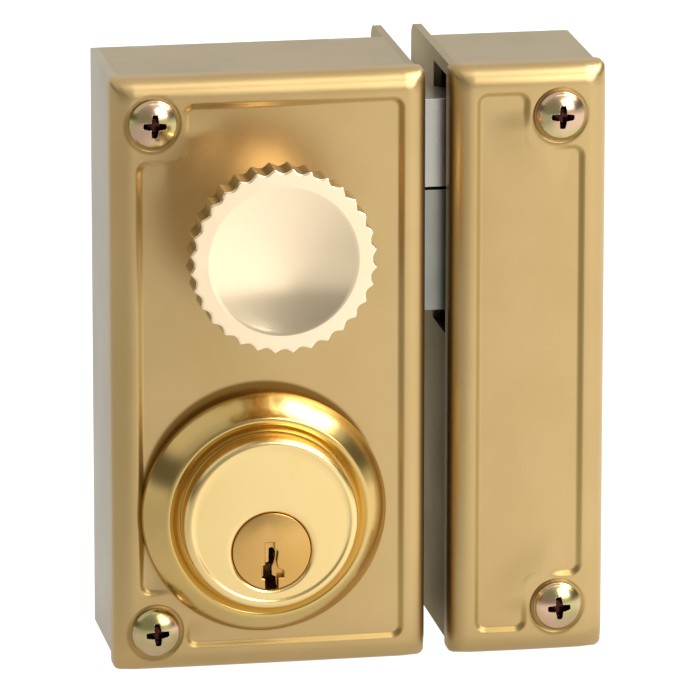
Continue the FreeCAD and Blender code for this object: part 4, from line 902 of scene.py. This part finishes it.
# Keeper: its own folded case with a strike plate, a pressed cover and two screws.
# The same plated steel and satin gold finish as the lock; it stands on the frame beside the bolts.
for node in ("keeper_case_shell", "keeper_top_wall", "keeper_bottom_wall"):
    eased(node, plated_steel, "lock_case")
# The strike plate takes the steel painted dark as shade in the gap.
eased("strike_plate", gap_shaded_steel, "lock_case")
KEEPER_LOW, KEEPER_HIGH = 34.5, 64.5
KEEPER_PANEL = (39.4, 59.6)
KEEPER_NOTCH_X = 49.0


def keeper_panel(x, z, y, inset):
    """Depth of the keeper cover's panel: distance to its outline, notched on the right for the screws."""
    from_side = np.minimum(x - KEEPER_PANEL[0], KEEPER_PANEL[1] - x)
    sides = round_less(from_side, PANEL_HIGH - abs(z), PANEL_CORNER_R)
    notch = -round_less(x - KEEPER_NOTCH_X, abs(z) - NOTCH_Z, PANEL_CORNER_R)
    return pressed(round_less(sides, notch, PANEL_CORNER_R), x, z, y, inset, KEEPER_SCREWS, -1)


pressed_cover("keeper_cover_pressed", "keeper_cover",
              cover_grid(KEEPER_LOW, KEEPER_HIGH, (*KEEPER_PANEL, KEEPER_NOTCH_X), KEEPER_SCREWS),
              keeper_panel, [(x, z, SCREW_HOLE_R) for x, z in KEEPER_SCREWS])
cover_screws("keeper_screw_heads", KEEPER_SCREWS, "keeper_cover_screws")


# Studio: a plain white floor, whose glow on the metal is dimmer beside the lock and towards its left, a
# pale room that is dim round the camera and along its walls, and three soft lights.
# None of it belongs to the lock.
FLOOR_Z = -0.0576
FLOOR_CORNERS = ((-1.6, -3.0), (1.6, -3.0), (1.6, 1.2), (-1.6, 1.2))
LOCK_MIDDLE, LOCK_HALF = (0.01725, -0.0175, FLOOR_Z), (0.047, 0.0175, 0.0)
SHADE_REACH = 0.028
floor_mesh = bpy.data.meshes.new("floor")
floor_mesh.from_pydata([(x, y, FLOOR_Z) for x, y in FLOOR_CORNERS], [], [(0, 1, 2, 3)])
floor = bpy.data.objects.new("floor", floor_mesh)
bpy.context.scene.collection.objects.link(floor)
floor_paint = bpy.data.materials.new("floor_white")
floor_paint.use_nodes = True
paint = floor_paint.node_tree.nodes["Principled BSDF"]
paint.inputs["Base Color"].default_value = (0.15, 0.15, 0.15, 1)
paint.inputs["Roughness"].default_value = 0.9
paint.inputs["Emission Strength"].default_value = 1.0
tree = floor_paint.node_tree
place = add(tree, "ShaderNodeTexCoord").outputs["Object"]
leftward = add(tree, "ShaderNodeVectorMath", {0: place, 1: (-1.0, -0.12, 0.0)}, operation="DOT_PRODUCT")
falls = smooth_range(tree, leftward.outputs["Value"], -0.08, 0.12)
away = add(tree, "ShaderNodeVectorMath", {0: place, 1: (0.0, 0.0, 0.0)}, operation="DISTANCE")
near = smooth_range(tree, away.outputs["Value"], 0.28, 0.42, 1.0, 0.9)
shade = add(tree, "ShaderNodeMath", {0: falls, 1: near}, operation="MULTIPLY")
glow = add(tree, "ShaderNodeMix", {0: shade.outputs[0], 6: (1.03, 1.03, 1.02, 1), 7: (0.43, 0.43, 0.42, 1)},
           data_type="RGBA")
beside = add(tree, "ShaderNodeVectorMath", {0: place, 1: LOCK_MIDDLE}, operation="SUBTRACT")
spread = add(tree, "ShaderNodeVectorMath", {0: beside.outputs[0]}, operation="ABSOLUTE")
past = add(tree, "ShaderNodeVectorMath", {0: spread.outputs[0], 1: LOCK_HALF}, operation="SUBTRACT")
gap = add(tree, "ShaderNodeVectorMath", {0: past.outputs[0], 1: (0.0, 0.0, 0.0)}, operation="MAXIMUM")
reach = add(tree, "ShaderNodeVectorMath", {0: gap.outputs[0]}, operation="LENGTH")
open_air = smooth_range(tree, reach.outputs["Value"], 0.0, SHADE_REACH)
under = add(tree, "ShaderNodeMix", {0: open_air, 6: (0.62, 0.61, 0.58, 1), 7: glow.outputs[2]},
            data_type="RGBA")
seen = add(tree, "ShaderNodeLightPath").outputs["Is Camera Ray"]
shown = add(tree, "ShaderNodeMix", {0: seen, 6: under.outputs[2], 7: (1.04, 1.04, 1.03, 1)},
            data_type="RGBA")
tree.links.new(shown.outputs[2], paint.inputs["Emission Color"])
floor_mesh.materials.append(floor_paint)


def soft_light(name, place, size, power, aim=(0.0, 0.0, 0.0)):
    """Square area light that faces the aim."""
    lamp = bpy.data.lights.new(name, "AREA")
    lamp.size, lamp.energy = size, power
    light = bpy.data.objects.new(name, lamp)
    light.location = place
    light.rotation_euler = (Vector(aim) - Vector(place)).to_track_quat("-Z", "Y").to_euler()
    bpy.context.scene.collection.objects.link(light)


soft_light("front_right_softbox", (0.64, -1.0, 0.70), 0.80, 8.0)
soft_light("upper_right_softbox", (0.80, -0.20, 1.05), 0.78, 12.0)
soft_light("overhead_softbox", (0.15, -0.45, 1.3), 0.5, 1.0)

room = bpy.data.worlds.new("room")
bpy.context.scene.world = room
room.use_nodes = True
tree = room.node_tree
direction = add(tree, "ShaderNodeTexCoord").outputs["Generated"]
toward = add(tree, "ShaderNodeVectorMath", {0: direction, 1: (-0.35, -0.90, 0.25)}, operation="DOT_PRODUCT")
gloom = smooth_range(tree, toward.outputs["Value"], 0.55, 0.99)
level = add(tree, "ShaderNodeMix", {0: gloom, 6: (0.80, 0.80, 0.77, 1), 7: (0.34, 0.34, 0.31, 1)},
            data_type="RGBA")
parts = add(tree, "ShaderNodeSeparateXYZ", {0: direction})
low = smooth_range(tree, parts.outputs["Z"], 0.38, 0.53, 1.0, 0.0)
across = add(tree, "ShaderNodeMath", {0: parts.outputs["X"]}, operation="ABSOLUTE")
beside = smooth_range(tree, across.outputs[0], 0.60, 0.88)
rise = smooth_range(tree, parts.outputs["Z"], 0.03, 0.16)
side = add(tree, "ShaderNodeMath", {0: rise, 1: beside}, operation="MULTIPLY")
walls = add(tree, "ShaderNodeMath", {0: low, 1: side.outputs[0]}, operation="MULTIPLY")
level = add(tree, "ShaderNodeMix", {0: walls.outputs[0], 6: level.outputs[2], 7: (0.14, 0.14, 0.12, 1)},
            data_type="RGBA")
tree.links.new(level.outputs[2], tree.nodes["Background"].inputs["Color"])
bpy.context.scene.view_settings.view_transform = "Standard"


# Camera: a long lens at the photograph's angle, above and to the left of the lock.
# Its place, direction and lens were fitted to the edges of the case.
lens = bpy.data.cameras.new("camera")
lens.lens, lens.sensor_width = 400.16, 36.0
lens.clip_start, lens.clip_end = 0.1, 20.0
camera = bpy.data.objects.new("camera", lens)
ahead, top = Vector((0.16935, 0.95217, -0.25435)), Vector((0.04387, 0.25054, 0.96711))
turned_to = Matrix((ahead.cross(top), top, -ahead)).transposed()
camera.matrix_world = Matrix.Translation((-0.23212, -1.42220, 0.37521)) @ turned_to.to_4x4()
bpy.context.scene.collection.objects.link(camera)
bpy.context.scene.camera = camera
